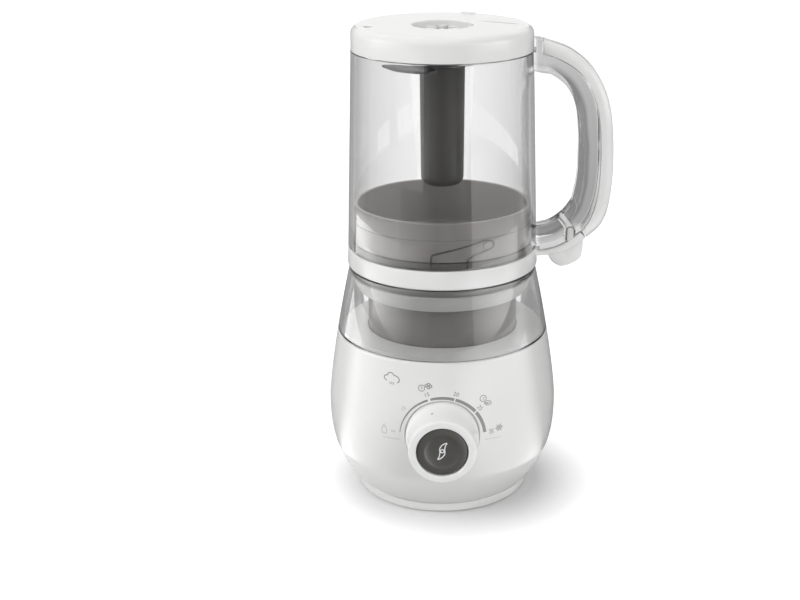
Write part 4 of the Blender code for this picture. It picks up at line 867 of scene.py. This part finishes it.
def bar_sections(near, far, half, near_bend, far_bend):
    """Sections of a bar along two runs in the X-Z plane: rounded rectangles from the near run to the far run, as wide
    as the bar along Y. A section's 56 points start at the middle of its near left corner."""
    theta = np.radians(np.arange(0, 91, 15))
    reach, turn_in = 1 - np.sin(theta), 1 - np.cos(theta)
    side, flat = np.linspace(0, 1, 7)[1:-1], np.linspace(-1, 1, 11)[1:-1]
    near_a, near_y = near_bend * reach, half - near_bend * turn_in
    far_a, far_y = -far_bend * reach, half - far_bend * turn_in
    side_a = near_bend * (1 - side) - far_bend * side
    zero, one = np.zeros, np.ones
    along = np.concatenate([
        near_a[3:], zero(9), near_a[::-1], side_a, far_a, zero(9), far_a[::-1], side_a[::-1], near_a[:3],
    ])
    share = np.concatenate([zero(20), side, one(23), side[::-1], zero(3)])
    across = np.concatenate([
        -near_y[3:], flat * (half - near_bend), near_y[::-1], np.full(5, half), far_y, flat[::-1] * (half - far_bend),
        -far_y[::-1], np.full(5, -half), -near_y[:3],
    ])
    span = far - near
    length = np.linalg.norm(span, axis=1, keepdims=True)
    points = near[:, None] + (along + share * length)[..., None] * (span / length)[:, None]
    return np.stack([points[..., 0], np.broadcast_to(across, points.shape[:2]), points[..., 1]], -1)


def slab(outline, near_y, far_y, edge):
    """A closed outline in the X-Z plane given thickness along Y, its two rims rounded by quarter circles."""
    outline = np.asarray(outline, float)
    following = np.roll(outline, -1, 0)
    ahead = following - np.roll(outline, 1, 0)
    inward = np.stack([-ahead[:, 1], ahead[:, 0]], -1) / np.linalg.norm(ahead, axis=1, keepdims=True)
    inward *= np.sign(np.sum(outline[:, 0] * following[:, 1] - following[:, 0] * outline[:, 1]))
    theta = np.radians(np.linspace(0, 90, 6))
    inset = np.concatenate([edge * (1 - np.sin(theta)), edge * (1 - np.sin(theta[::-1]))])
    y = np.concatenate([near_y + edge * (1 - np.cos(theta)), far_y - edge * (1 - np.cos(theta[::-1]))])
    flat = outline[None] + inset[:, None, None] * inward[None]
    return capped(np.stack([flat[..., 0], np.broadcast_to(y[:, None], flat.shape[:2]), flat[..., 1]], -1))


def arch(left, right, low, high):
    """An upright outline with a half-round top: straight sides up to the spring, then a half circle."""
    radius = (right - left) / 2
    a = np.linspace(0, np.pi, 17)
    top = np.stack([left + radius + radius * np.cos(a), high - radius + radius * np.sin(a)], -1)
    return np.concatenate([[(left, low), (right, low)], top])


turned_piece(
    "ring_band",
    [
        (0.0508, 0.1543, 0.0003), (0.0565, 0.1543, 0.0012), (0.0570, 0.1432, 0.0014), (0.0546, 0.1432, 0.0005),
        (0.0546, 0.1520, 0.0004), (0.0508, 0.1520, 0.0004),
    ],
    white_abs, "lid", ["lid_ring"],
)
lever = bar_sections(run(LEVER_UNDER, 40), run(LEVER_TOP, 40), LEVER_HALF, LEVER_EDGE, LEVER_EDGE)
make_piece("ring_lever", [capped(lever)], white_abs, "lid")
tab = slab(run(TAB, 90)[:-1], -TAB_HALF, TAB_HALF, TAB_EDGE)
make_piece("thumb_tab", [tab], white_abs, "lid")
tongue = slab(arch(0.0741, 0.0780, 0.1560, 0.1664), -0.0090, 0.0040, 0.0005)
make_piece("lock_tongue", [tongue], pale_plastic, "lid")

# Grey silicone: the lid's own grey, soft and dull.
silicone = grained("grey_silicone", "#72706d", "#7c7a77", 0.002, 0.55, IOR=1.41)
turned_piece(
    "mouth_seal",
    [(0.0508, 0.1583, 0.0004), (0.0533, 0.1583, 0.0006), (0.0533, 0.1546, 0.0004), (0.0508, 0.1546, 0.0003)],
    silicone, "lid", ["lid_seal"],
)

# Jar: one polished moulding in clear copolyester, mouth down, its slightly tapered wall 2.5 mm thick. The inner
# half of the handle is moulded on with it, and ribs inside the mouth guide the lid's bayonet lugs.
JAR_MOUTH_Z, JAR_MOUTH_R, JAR_SEAM_Z, JAR_SEAM_R, JAR_WALL = 0.1546, 0.0565, 0.2706, 0.0527, 0.0025
JAR_FLOOR_UNDER, JAR_FLOOR_TOP, JAR_BUSH_R = 0.2704, 0.27085, 0.0093
GRIP_HALF, GRIP_ROUND, GRIP_EDGE = 0.0097, 0.0060, 0.0004
# The handle's runs from the jar's floor down to its mouth, each point (near x, near z, far x, far z).
STUB = (
    (0.0531, 0.2583, 0.0528, 0.2702), (0.0540, 0.2580, 0.0532, 0.2702), (0.0545, 0.2579, 0.0532, 0.2765),
    (0.0572, 0.2573, 0.0574, 0.2762), (0.0580, 0.2572, 0.0574, 0.2690),
)
GRIP = (
    (0.0585, 0.2571, 0.0577, 0.2692), (0.0628, 0.2562, 0.0688, 0.2649), (0.0717, 0.2494, 0.0793, 0.2574),
    (0.0773, 0.2381, 0.0870, 0.2450), (0.0795, 0.2216, 0.0910, 0.2296), (0.0797, 0.2090, 0.0923, 0.2066),
    (0.0795, 0.1966, 0.0920, 0.1940), (0.0772, 0.1826, 0.0910, 0.1847), (0.0748, 0.1778, 0.0875, 0.1722),
    (0.0720, 0.1740, 0.0826, 0.1645),
)
FOOT = (
    (0.0712, 0.1733, 0.0813, 0.1641), (0.0680, 0.1707, 0.0749, 0.1593), (0.0655, 0.1691, 0.0709, 0.1567),
    (0.0625, 0.1676, 0.0663, 0.1547), (0.0590, 0.1667, 0.0600, 0.1532),
)
TOE = ((0.0586, 0.1666, 0.0580, 0.1531), (0.0578, 0.1664, 0.0579, 0.1550), (0.0562, 0.1661, 0.0565, 0.1550))


def jar_radius(z):
    """Outer radius of the jar: it falls evenly from the mouth to the seam under the cap."""
    return JAR_MOUTH_R + (JAR_SEAM_R - JAR_MOUTH_R) * (z - JAR_MOUTH_Z) / (JAR_SEAM_Z - JAR_MOUTH_Z)


def on_jar(points):
    """Points moved along X on to the jar's wall on the handle's side: x = sqrt(r(z)^2 - y^2)."""
    y, z = points[..., 1], points[..., 2]
    return np.stack([np.sqrt(jar_radius(z) ** 2 - y ** 2), y, z], -1)


jar_plastic = clear_finish("clear_copolyester_jar", "#f4f4f4", "#d0d0d0")
jar_levels = np.concatenate([
    np.linspace(0.1548, 0.1690, 13), np.linspace(0.1690, 0.2560, 30)[1:], np.linspace(0.2560, 0.2705, 13)[1:],
])
jar = turn(np.concatenate([
    [(JAR_MOUTH_R - 0.0003, JAR_MOUTH_Z)], np.stack([jar_radius(jar_levels), jar_levels], -1),
    [(JAR_SEAM_R, JAR_FLOOR_TOP - 0.0001), (JAR_SEAM_R - 0.0001, JAR_FLOOR_TOP)],
    rounded([
        (JAR_BUSH_R, JAR_FLOOR_TOP, 0.0001), (JAR_BUSH_R, JAR_FLOOR_UNDER, 0.0001),
        (JAR_SEAM_R - JAR_WALL, JAR_FLOOR_UNDER, 0.0010), (JAR_MOUTH_R - JAR_WALL, JAR_MOUTH_Z, 0.0006),
    ], closed=False, per_bend=9),
]), start=-math.pi)
handle_side = (ROUND // 2 - 8, ROUND // 2 + 8)
upper_rows, lower_rows = (42, 54), (13, 1)
pairs = np.concatenate([STUB, run(GRIP, 56), run(FOOT, 18), TOE])
sections = bar_sections(pairs[:, :2], pairs[:, 2:], GRIP_HALF, GRIP_ROUND, GRIP_EDGE)
sections[[0, -1]] = on_jar(sections[[0, -1]])
rim_up, rim_low = (edge_of_block(jar, rows, handle_side) for rows in (upper_rows, lower_rows))
grip = np.concatenate([
    [rim_up], on_jar(between(rim_up, sections[0], 4)), sections[1:], on_jar(between(sections[-1], rim_low, 4)),
])
jar_parts = [net(jar, True, [(upper_rows, handle_side), (lower_rows, handle_side)]), net(grip)]
jar_piece = make_piece("jar_wall", jar_parts, jar_plastic, "jar", ["jar_body"])

cutter = add_object("slot_cut", [slab(arch(0.0731, 0.0790, 0.1466, 0.1674), -0.0150, 0.0060, 0.0002)])
shade(cutter.data)
slot_cutting = jar_piece.modifiers.new("tongue_slot", "BOOLEAN")
slot_cutting.operation, slot_cutting.solver, slot_cutting.object = "DIFFERENCE", "EXACT", cutter
bpy.context.view_layer.update()
jar_shape = jar_piece.evaluated_get(bpy.context.evaluated_depsgraph_get())
cut_mesh = bpy.data.meshes.new_from_object(jar_shape)
jar_piece.modifiers.remove(slot_cutting)
bpy.data.objects.remove(cutter)
jar_piece.data = cut_mesh
shade(cut_mesh)

# Bayonet ribs: clear beads inside the jar's mouth that lead a lug up from the gap to its locked place.
# Each is a round bead that touches the wall, and the back one is the front one turned half round.
RIB = (
    (-6.3, 154.9), (-6.3, 159.5), (-5.9, 162.6), (-4.0, 163.9), (8.0, 166.8), (21.0, 170.0), (24.5, 170.6),
    (27.6, 169.4), (28.6, 167.0), (27.0, 165.2), (23.0, 164.2), (18.0, 162.4), (14.6, 160.6), (14.0, 158.6),
    (14.0, 154.9),
)
RIB_BEAD_R, RIB_INSET = 0.00055, 0.00065
rib = run(np.array(RIB) / 1000, 120)
rib_r = jar_radius(rib[:, 1]) - JAR_WALL - RIB_INSET
rib_y = -np.sqrt(rib_r ** 2 - rib[:, 0] ** 2)
inward = np.stack([-rib[:, 0], -rib_y, np.zeros(len(rib))], -1) / rib_r[:, None]
bead, bead_faces = wire(np.stack([rib[:, 0], rib_y, rib[:, 1]], -1), RIB_BEAD_R, inward)
# The beads are tinted a darker grey than the jar they are moulded with: painted shade for the dark lines they show.
painted_shade_bead_plastic = clear_finish("clear_copolyester_bead_painted_shade", "#b8b8b6", "#b8b8b6")
for name, side in (("bayonet_rib_front", 1), ("bayonet_rib_back", -1)):
    make_piece(name, [(bead * [side, side, 1], bead_faces)], painted_shade_bead_plastic, "jar")

# Handle spine: the white ABS outer half of the handle, a strip with a full round back that snaps on the clear grip.
# Its seat follows the grip, its crest is the handle's outer edge.
SPINE_HALF, SPINE_EDGE, SPINE_ROUND = 0.0099, 0.0004, 0.0050
CREST = (
    (0.0577, 0.2768), (0.0750, 0.2702), (0.0893, 0.2569), (0.0976, 0.2366),
    (0.10035, 0.2066), (0.0988, 0.1816), (0.0945, 0.1681), (0.0862, 0.1596),
)
SEAT = (
    (0.0577, 0.2696), (0.0690, 0.2652), (0.0795, 0.2576), (0.0873, 0.2451), (0.0913, 0.2296),
    (0.0926, 0.2066), (0.0913, 0.1846), (0.0878, 0.1721), (0.0828, 0.1643),
)
spine = bar_sections(run(SEAT, 72), run(CREST, 72), SPINE_HALF, SPINE_EDGE, SPINE_ROUND)
make_piece("spine_strip", [capped(spine)], white_abs, "jar", ["handle_spine"])

# Cap: the white ABS disc over the jar's floor, with the well for the coupling, a small round dimple and a
# locating lug near its rim, and a thin straight grey strip whose grey is painted shade for a narrow slot.
CAP_R, CAP_TOP, CAP_EDGE_R, CAP_UNDER, CAP_WALL = 0.05255, 0.2846, 0.0045, 0.2709, 0.0024
WELL_R, WELL_OUT_R, WELL_FLOOR, WELL_UNDER, WELL_HOLE_R = 0.0175, 0.0200, 0.2746, 0.2721, 0.0066
CAP_INSIDE_TOP = 0.2818
DIMPLE_CIRCLE_R, DIMPLE_DEG, DIMPLE_R, DIMPLE_DEPTH = 0.0436, -166.5, 0.0030, 0.0021
LUG_HALF, LUG_CIRCLE_R, LUG_DEG, LUG_TOP, LUG_EDGE = (0.0045, 0.0014), 0.0452, 70.0, 0.2858, 0.0005
MARK_START, MARK_END = np.array([0.0235, 0.0125]), np.array([0.0421, 0.0009])
MARK_HALF, MARK_HEIGHT, MARK_EDGE = 0.0009, 0.00006, 0.00005
flat_r = np.concatenate([np.linspace(WELL_R + 0.0010, 0.0396, 10), np.linspace(0.0396, 0.0476, 9)[1:]])
theta = np.radians(np.linspace(0, 90, 10))
cap = turn(np.concatenate([
    np.stack([flat_r, np.full_like(flat_r, CAP_TOP)], -1),
    np.stack([CAP_R - CAP_EDGE_R * (1 - np.sin(theta)), CAP_TOP - CAP_EDGE_R * (1 - np.cos(theta))], -1),
    rounded([
        (CAP_R, CAP_UNDER + 0.0010, 0), (CAP_R, CAP_UNDER, 0.0002), (CAP_R - CAP_WALL, CAP_UNDER, 0.0002),
        (CAP_R - CAP_WALL, CAP_INSIDE_TOP, 0.0022), (WELL_OUT_R, CAP_INSIDE_TOP, 0.0008),
        (WELL_OUT_R, WELL_UNDER, 0.0004), (WELL_HOLE_R, WELL_UNDER, 0.0003), (WELL_HOLE_R, WELL_FLOOR, 0.0004),
        (WELL_R, WELL_FLOOR, 0.0012), (WELL_R, CAP_TOP, 0.0009), (WELL_R + 0.0010, CAP_TOP, 0),
    ], closed=False),
]), start=math.radians(DIMPLE_DEG) - math.pi)
dimple_block = (9, 17), (ROUND // 2 - 4, ROUND // 2 + 4)
rim, spot = edge_of_block(cap, *dimple_block), at(DIMPLE_CIRCLE_R, DIMPLE_DEG, CAP_TOP)
ring = out_from(spot, rim)
bowl = [
    spot + DIMPLE_R * share * ring - [0, 0, DIMPLE_DEPTH * sink]
    for share, sink in ((0.97, 0.05), (0.90, 0.5), (0.84, 0.92), (0.76, 1.0), (0.4, 1.0), (0.0, 1.0))
]
dimple = np.concatenate([[rim], between(rim, spot + DIMPLE_R * ring, 3), bowl])
cap_parts = [net(cap, True, [dimple_block]), net(dimple)]
make_piece("cap_disc", cap_parts, white_abs, "jar", ["jar_cap"])
# A grey disc fills the dimple's floor so that the dimple reads darker than the cap: painted shade in the recess.
turned_piece(
    "cap_pin_painted_shade", [(0, -0.0004, 0), (0.0024, -0.0004, 0.0003), (0.0024, -0.0021, 0), (0, -0.0021, 0)],
    grey_plastic, "jar", steps=48, move=lambda points: points + spot,
)


def turned_to(points, spot, deg):
    """Points turned about Z by an angle and moved to a spot."""
    c, s = math.cos(math.radians(deg)), math.sin(math.radians(deg))
    x, y, z = np.moveaxis(points, -1, 0)
    return np.stack([spot[0] + x * c - y * s, spot[1] + x * s + y * c, z], -1)


def rounded_bar(half_long, half_wide, low, high, edge, spot, deg):
    """An upright bar with half-round ends and a rounded top rim, outline in X-Y, turned and moved to a spot."""
    a = np.radians(np.concatenate([np.linspace(-90, 90, 13), np.linspace(90, 270, 13)]))
    middle = np.where(np.arange(26) < 13, 1, -1) * (half_long - half_wide)
    theta = np.radians(np.linspace(0, 90, 6))[:, None]
    reach = np.concatenate([[[half_wide]], half_wide - edge * (1 - np.cos(theta))])
    height = np.concatenate([[[low]], high - edge * (1 - np.sin(theta))])
    bar = np.broadcast_arrays(middle + reach * np.cos(a), reach * np.sin(a), height)
    return capped(turned_to(np.stack(bar, -1), spot, deg))


lug = rounded_bar(*LUG_HALF, CAP_TOP - 0.0005, LUG_TOP, LUG_EDGE, at(LUG_CIRCLE_R, LUG_DEG), LUG_DEG - 90)
make_piece("cap_lug", [lug], white_abs, "jar")
# The strip stands a hair proud in pale grey lacquer: painted shade for the slot.
mark_way = MARK_END - MARK_START
mark = rounded_bar(
    np.linalg.norm(mark_way) / 2, MARK_HALF, CAP_TOP - 0.0003, CAP_TOP + MARK_HEIGHT, MARK_EDGE,
    (MARK_START + MARK_END) / 2, math.degrees(math.atan2(mark_way[1], mark_way[0])),
)
make_piece("cap_slot_painted_shade", [mark], pale_lacquer, "jar")

# Blade unit: a dark grey hub on the shaft that hangs from the jar's floor, with two sickle blades stamped from
# stainless steel and ground to an edge. A rubber seal sits over the bush.
HUB_R, HUB_TIP_Z, HUB_SHAFT_R, BLADE_EYE_R = 0.0131, 0.1916, 0.0033, 0.0134
BLADE_RING_R, BLADE_RING_HALF, BLADE_HALF, BLADE_DEG = 0.0175, 0.00065, 0.0006, -130.0
EDGE = (
    (0.0322, -0.0171), (0.0353, -0.0135), (0.0384, -0.0075), (0.0421, 0.0015), (0.0422, 0.0090), (0.0402, 0.0163),
    (0.0375, 0.0217),
)
BACK = (
    (0.0322, -0.0171), (0.0262, -0.0120), (0.0205, -0.0065), (0.0165, 0.0005), (0.0180, 0.0070), (0.0225, 0.0125),
    (0.0279, 0.0196),
)
dress(rubber, "shaft_seal")
turned_piece(
    "hub_column",
    [
        (0.0, 0.2371, 0), (HUB_SHAFT_R, 0.2371, 0.0002), (HUB_SHAFT_R, 0.2624, 0.0003), (0.0096, 0.2624, 0.0003),
        (0.0096, 0.2678, 0.0003), (HUB_R, 0.2678, 0.0010), (HUB_R, 0.2640, 0.0004), (0.0128, 0.2632, 0.0004),
        (HUB_R, 0.2624, 0.0004), (0.0126, 0.1956, 0.0012), (0.0110, 0.1927, 0.0012), (0.0081, HUB_TIP_Z, 0.0010),
        (0.0, HUB_TIP_Z, 0),
    ],
    dark_plastic, "blade", ["blade_hub"], steps=128,
)

# Ground blade steel: a ground face mirrors the room in fine streaks. Its colour is darker than the drawn parts': a
# painted dark reflection, not a darker metal.
blade_steel = grained(
    "ground_blade_steel_painted_dark", "#868688", "#949496", (0.0030, 0.0002, 0.0002), (0.16, 0.30), Metallic=1.0,
)


def wing(turn_deg, height):
    """A sickle wing between its ground edge and its back: at share v across, the sheet thins towards the edge, and
    its blunt end is ground off at a slant."""
    edge, back = run(EDGE, 50), run(BACK, 50)
    v = np.array([0.0, 0.02, 0.14, 0.3, 0.5, 0.7, 0.86, 0.98, 1.0])
    half = np.broadcast_to(BLADE_HALF * np.array([0.1, 0.15, 1, 1, 1, 1, 1, 1, 0.8]), (50, 9))
    slant = np.where(np.arange(50) == 49, -0.7, 1.0)[:, None]
    flat = edge[:, None] * (1 - v)[None, :, None] + back[:, None] * v[None, :, None]
    upper = np.concatenate([flat, (height + half * slant)[..., None]], -1)
    lower = np.concatenate([flat, (height - half)[..., None]], -1)[:, ::-1]
    return capped(turned_to(np.concatenate([upper, lower], 1), (0, 0), turn_deg))


for name, node, height, turn_deg in (
    ("sickle_upper", "blade_upper", 0.2658, BLADE_DEG + 180), ("sickle_lower", "blade_lower", 0.2640, BLADE_DEG),
):
    top, under = height + BLADE_RING_HALF, height - BLADE_RING_HALF
    eye = turn(rounded([
        (BLADE_EYE_R, top, 0.0002), (BLADE_RING_R, top, 0.0003), (BLADE_RING_R, under, 0.0003),
        (BLADE_EYE_R, under, 0.0002),
    ]), 96)
    parts = [wing(turn_deg, height), net(eye, True)]
    make_piece(name, parts, blade_steel, "blade", [node], crease=24)

# Studio: a white sweep under the object, a large soft box on its left, a smaller one on its right and a soft
# light above. Cards out of the picture give the clear and glossy parts something dark and something bright to show.
FLOOR_HALF = 3.0
PAINTED_SHADOW_CENTRE, PAINTED_SHADOW_INNER, PAINTED_SHADOW_OUTER, GLOW_OUTER = (0.009, -0.001, 0), 0.050, 0.085, 1.5
PAINTED_SHADOW_GLOW, NEAR_GLOW, FAR_GLOW, ROOM_LIGHT = 0.14, 0.60, 0.40, 0.26
AIM = np.array([0, 0, 0.13])


def rays_that_look(owner):
    """One for rays from the camera, off mirrors and through clear walls, and none for the others."""
    ray = add_node(owner, "ShaderNodeLightPath")
    seen = add_node(
        owner, "ShaderNodeMath", {"operation": "ADD"},
        {0: ray.outputs["Is Camera Ray"], 1: ray.outputs["Is Glossy Ray"]},
    )
    seen = add_node(
        owner, "ShaderNodeMath", {"operation": "ADD", "use_clamp": True},
        {0: seen.outputs["Value"], 1: ray.outputs["Is Transmission Ray"]},
    )
    return seen.outputs["Value"]


# White paper: takes the soft shadow, and glows for what looks at it, more with distance, so that it reads as white.
# Its glow is held low in a ring round a spot just right of and in front of the foot: a painted shadow there.
paper = new_finish("white_backdrop_paper")
place = add_node(paper, "ShaderNodeTexCoord").outputs["Object"]
fibre = add_node(paper, "ShaderNodeTexNoise", {"Scale": 1 / 0.004, "Detail": 2.0}, {"Vector": place})
tones = {"data_type": "RGBA", 6: linear("#c8c8c8"), 7: linear("#cccccc")}
tone = add_node(paper, "ShaderNodeMix", tones, {0: fibre.outputs["Fac"]})
matt = add_node(paper, "ShaderNodeBsdfDiffuse", links={"Color": tone.outputs[2]})
offset = add_node(paper, "ShaderNodeVectorMath", {"operation": "SUBTRACT", 1: PAINTED_SHADOW_CENTRE}, {0: place})
away = add_node(paper, "ShaderNodeVectorMath", {"operation": "LENGTH"}, {0: offset.outputs["Vector"]})
# The near glow dips round the foot, a painted shadow; the far glow rises to keep the distant paper white.
near, far = (
    add_node(
        paper, "ShaderNodeMapRange", {"From Min": start, "From Max": end, "To Min": low, "To Max": high},
        {"Value": away.outputs["Value"]},
    ).outputs["Result"]
    for start, end, low, high in (
        (PAINTED_SHADOW_INNER, PAINTED_SHADOW_OUTER, PAINTED_SHADOW_GLOW, NEAR_GLOW), (PAINTED_SHADOW_OUTER, GLOW_OUTER, 0.0, FAR_GLOW),
    )
)
level = add_node(paper, "ShaderNodeMath", {"operation": "ADD"}, {0: near, 1: far})
level = add_node(
    paper, "ShaderNodeMath", {"operation": "MULTIPLY"}, {0: rays_that_look(paper), 1: level.outputs["Value"]},
)
glow = add_node(paper, "ShaderNodeEmission", links={"Strength": level.outputs["Value"]})
both = add_node(paper, "ShaderNodeAddShader", links={0: matt.outputs["BSDF"], 1: glow.outputs["Emission"]})
add_node(paper, "ShaderNodeOutputMaterial", links={"Surface": both.outputs["Shader"]})
u, v = np.meshgrid(np.linspace(-FLOOR_HALF, FLOOR_HALF, 13), np.linspace(-FLOOR_HALF, FLOOR_HALF, 13))
floor = add_object("floor", [net(np.stack([u, v, np.zeros_like(u)], -1), loop_columns=False)], paper)
floor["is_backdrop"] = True

world = bpy.data.worlds.new("white_room")
bpy.context.scene.world = world
world.use_nodes = True
world.node_tree.nodes.clear()
level = add_node(world, "ShaderNodeMapRange", {"To Min": ROOM_LIGHT, "To Max": 1.0}, {"Value": rays_that_look(world)})
room = add_node(world, "ShaderNodeBackground", {"Color": (1, 1, 1, 1)}, {"Strength": level.outputs["Result"]})
add_node(world, "ShaderNodeOutputWorld", links={"Surface": room.outputs["Background"]})

for name, bearing, distance, height, wide, tall, power in (
    ("soft_box_left", -62, 1.10, 0.60, 1.05, 1.10, 8.6),
    ("soft_box_right", 45, 1.10, 0.55, 0.85, 1.00, 6.0),
    ("soft_box_top", -168, 0.51, 1.30, 1.10, 0.90, 7.0),
):
    light = bpy.data.lights.new(name, "AREA")
    light.shape, light.size, light.size_y, light.energy = "RECTANGLE", wide, tall, power
    lamp = bpy.data.objects.new(name, light)
    lamp.visible_glossy = lamp.visible_transmission = False
    lamp.location = at(distance, bearing - 90, height)
    toward = AIM - np.array(lamp.location)
    lamp.rotation_euler = (
        math.acos(-toward[2] / np.linalg.norm(toward)), 0, math.atan2(toward[1], toward[0]) - math.pi / 2,
    )
    bpy.context.scene.collection.objects.link(lamp)


# Felt on the dark cards: swallows light, with a faint nap. Lit cloth on the bright ones, which only the clear and
# the glossy parts show.
def card_finish(name, strength, fade=None, dark="#f8f8f8", light="#ffffff"):
    """A card's cloth between two tones, which glows at a strength or, with a fade (from, to, low), rises to it from a
    low one between two angles counted from +Y."""
    finish = new_finish(name)
    place = add_node(finish, "ShaderNodeTexCoord").outputs["Object"]
    nap = add_node(finish, "ShaderNodeTexNoise", {"Scale": 1 / 0.004, "Detail": 2.0}, {"Vector": place})
    tones = {"data_type": "RGBA", 6: linear(dark), 7: linear(light)}
    tone = add_node(finish, "ShaderNodeMix", tones, {0: nap.outputs["Fac"]})
    glow = add_node(finish, "ShaderNodeEmission", {"Strength": strength}, {"Color": tone.outputs[2]})
    if fade:
        start, end, low = fade
        axes = add_node(finish, "ShaderNodeSeparateXYZ", links={"Vector": place})
        angle = add_node(
            finish, "ShaderNodeMath", {"operation": "ARCTAN2"}, {0: axes.outputs["X"], 1: axes.outputs["Y"]},
        )
        rise = add_node(
            finish, "ShaderNodeMapRange",
            {"From Min": math.radians(start), "From Max": math.radians(end), "To Min": low, "To Max": strength},
            {"Value": angle.outputs["Value"]},
        )
        finish.node_tree.links.new(rise.outputs["Result"], glow.inputs["Strength"])
    add_node(finish, "ShaderNodeOutputMaterial", links={"Surface": glow.outputs["Emission"]})
    return finish


cloths = {name: card_finish(name, 1.0, None, dark, light) for name, dark, light in (
    ("dark_grey_felt", "#2a2a2a", "#343434"), ("slate_grey_felt", "#545454", "#606060"),
    ("dull_grey_felt", "#747474", "#7e7e7e"), ("mid_grey_felt", "#9c9c9c", "#a6a6a6"),
)}
cloths |= {name: card_finish(name, strength, fade) for name, strength, fade in (
    ("lit_diffuser_left", 3.4, (-148, -90, 0.03)), ("lit_diffuser_right", 2.8, (172, 148, 0.03)),
    ("faded_diffuser_left", 3.4, (-74, -92, 0.4)), ("faded_diffuser_right", 2.8, (80, 100, 0.2)),
    ("lit_screen_left", 4.6, (-148, -90, 0.03)), ("lit_screen_right", 4.0, (146, 110, 1.2)),
    ("lit_sheet_left", 3.6, (-160, -70, 0.15)), ("lit_sheet_right", 2.4, (150, 130, 0.15)),
    ("faded_cloth_front", 1.1, (-172, -130, 0.03)),
    ("faded_cloth_back_left", 1.15, (-20, -80, 0.3)), ("faded_cloth_back_right", 1.15, (20, 88, 0.3)),
    ("faded_cloth_left", 1.15, (-19, -2.7, 0.42)), ("faded_cloth_right", 1.15, (19, 2.7, 0.42)),
)}

# A card lies on the floor from a near to a far radius and stands up there: that profile carried round Z from one
# bearing to another, both counted from the front towards the right. Some are only mirrored, some only seen through.
CARD_LEVEL = 0.002
for name, start, end, near, far, height, cloth, mirrored in (
    ("card_front_low", -20, 8, 0.08, 0.25, 0.104, "dark_grey_felt", True),
    ("card_front_high", -22, 34, 1.00, 2.7, 1.6, "dark_grey_felt", True),
    ("card_front_mid", -8, 34, 0.26, 1.00, 0.004, "dark_grey_felt", True),
    ("card_front_mid_left", -50, -8, 0.26, 1.00, 0.004, "faded_cloth_front", True),
    ("card_right_low", 8, 80, 0.08, 0.25, 0.104, "lit_diffuser_right", True),
    ("card_right_high", 34, 92, 2.5, 2.7, 1.6, "lit_screen_right", True),
    ("card_left_low", -88, -20, 0.08, 0.25, 0.104, "lit_diffuser_left", True),
    ("card_left_high", -98, -22, 2.5, 2.7, 1.6, "lit_screen_left", True),
    ("card_right_tail", 80, 100, 0.08, 0.25, 0.104, "faded_diffuser_right", True),
    ("card_left_tail", -106, -88, 0.08, 0.25, 0.104, "faded_diffuser_left", True),
    ("card_back_right_low", 100, 170, 0.08, 0.25, 0.104, "dull_grey_felt", True),
    ("card_back_left_low", -170, -106, 0.08, 0.25, 0.104, "mid_grey_felt", True),
    ("card_back_right", 92, 170, 0.26, 2.7, 1.0, "faded_cloth_back_right", True),
    ("card_back_left", -170, -98, 0.26, 2.7, 1.0, "faded_cloth_back_left", True),
    ("sheet_front", -20, 25, 0.10, 0.74, 0.004, "dark_grey_felt", False),
    ("sheet_right", 25, 102, 0.10, 0.74, 0.004, "lit_sheet_right", False),
    ("sheet_left", -128, -20, 0.10, 0.74, 0.004, "lit_sheet_left", False),
    ("flag_tank_right", 102, 165, 0.10, 0.45, 0.004, "mid_grey_felt", False),
    ("flag_tank_left", -165, -128, 0.10, 0.45, 0.004, "mid_grey_felt", False),
    ("flag_front", -16, 20, 0.75, 2.7, 1.2, "slate_grey_felt", False),
    ("flag_front_left", -112, -16, 0.75, 2.7, 1.2, "mid_grey_felt", False),
    ("flag_front_right", 20, 92, 0.75, 2.7, 1.2, "mid_grey_felt", False),
    ("flag_right", 92, 177.3, 0.75, 1.8, 0.45, "faded_cloth_right", False),
    ("flag_left", -177.3, -112, 0.75, 1.8, 0.30, "faded_cloth_left", False),
    ("flag_right_low", 102, 177.3, 0.46, 0.75, 0.004, "faded_cloth_right", False),
    ("flag_left_low", -177.3, -128, 0.46, 0.75, 0.004, "faded_cloth_left", False),
):
    bearing = np.radians(np.linspace(start, end, 25))
    radius, level = np.array([near, far, far])[:, None], np.array([CARD_LEVEL, CARD_LEVEL, height])[:, None]
    points = np.stack(np.broadcast_arrays(radius * np.sin(bearing), -radius * np.cos(bearing), level), -1)
    card = add_object(name, [net(points, loop_columns=False)], cloths[cloth])
    card.visible_camera = card.visible_diffuse = card.visible_shadow = False
    card.visible_glossy, card.visible_transmission = mirrored, not mirrored
    card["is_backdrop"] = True

low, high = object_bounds()
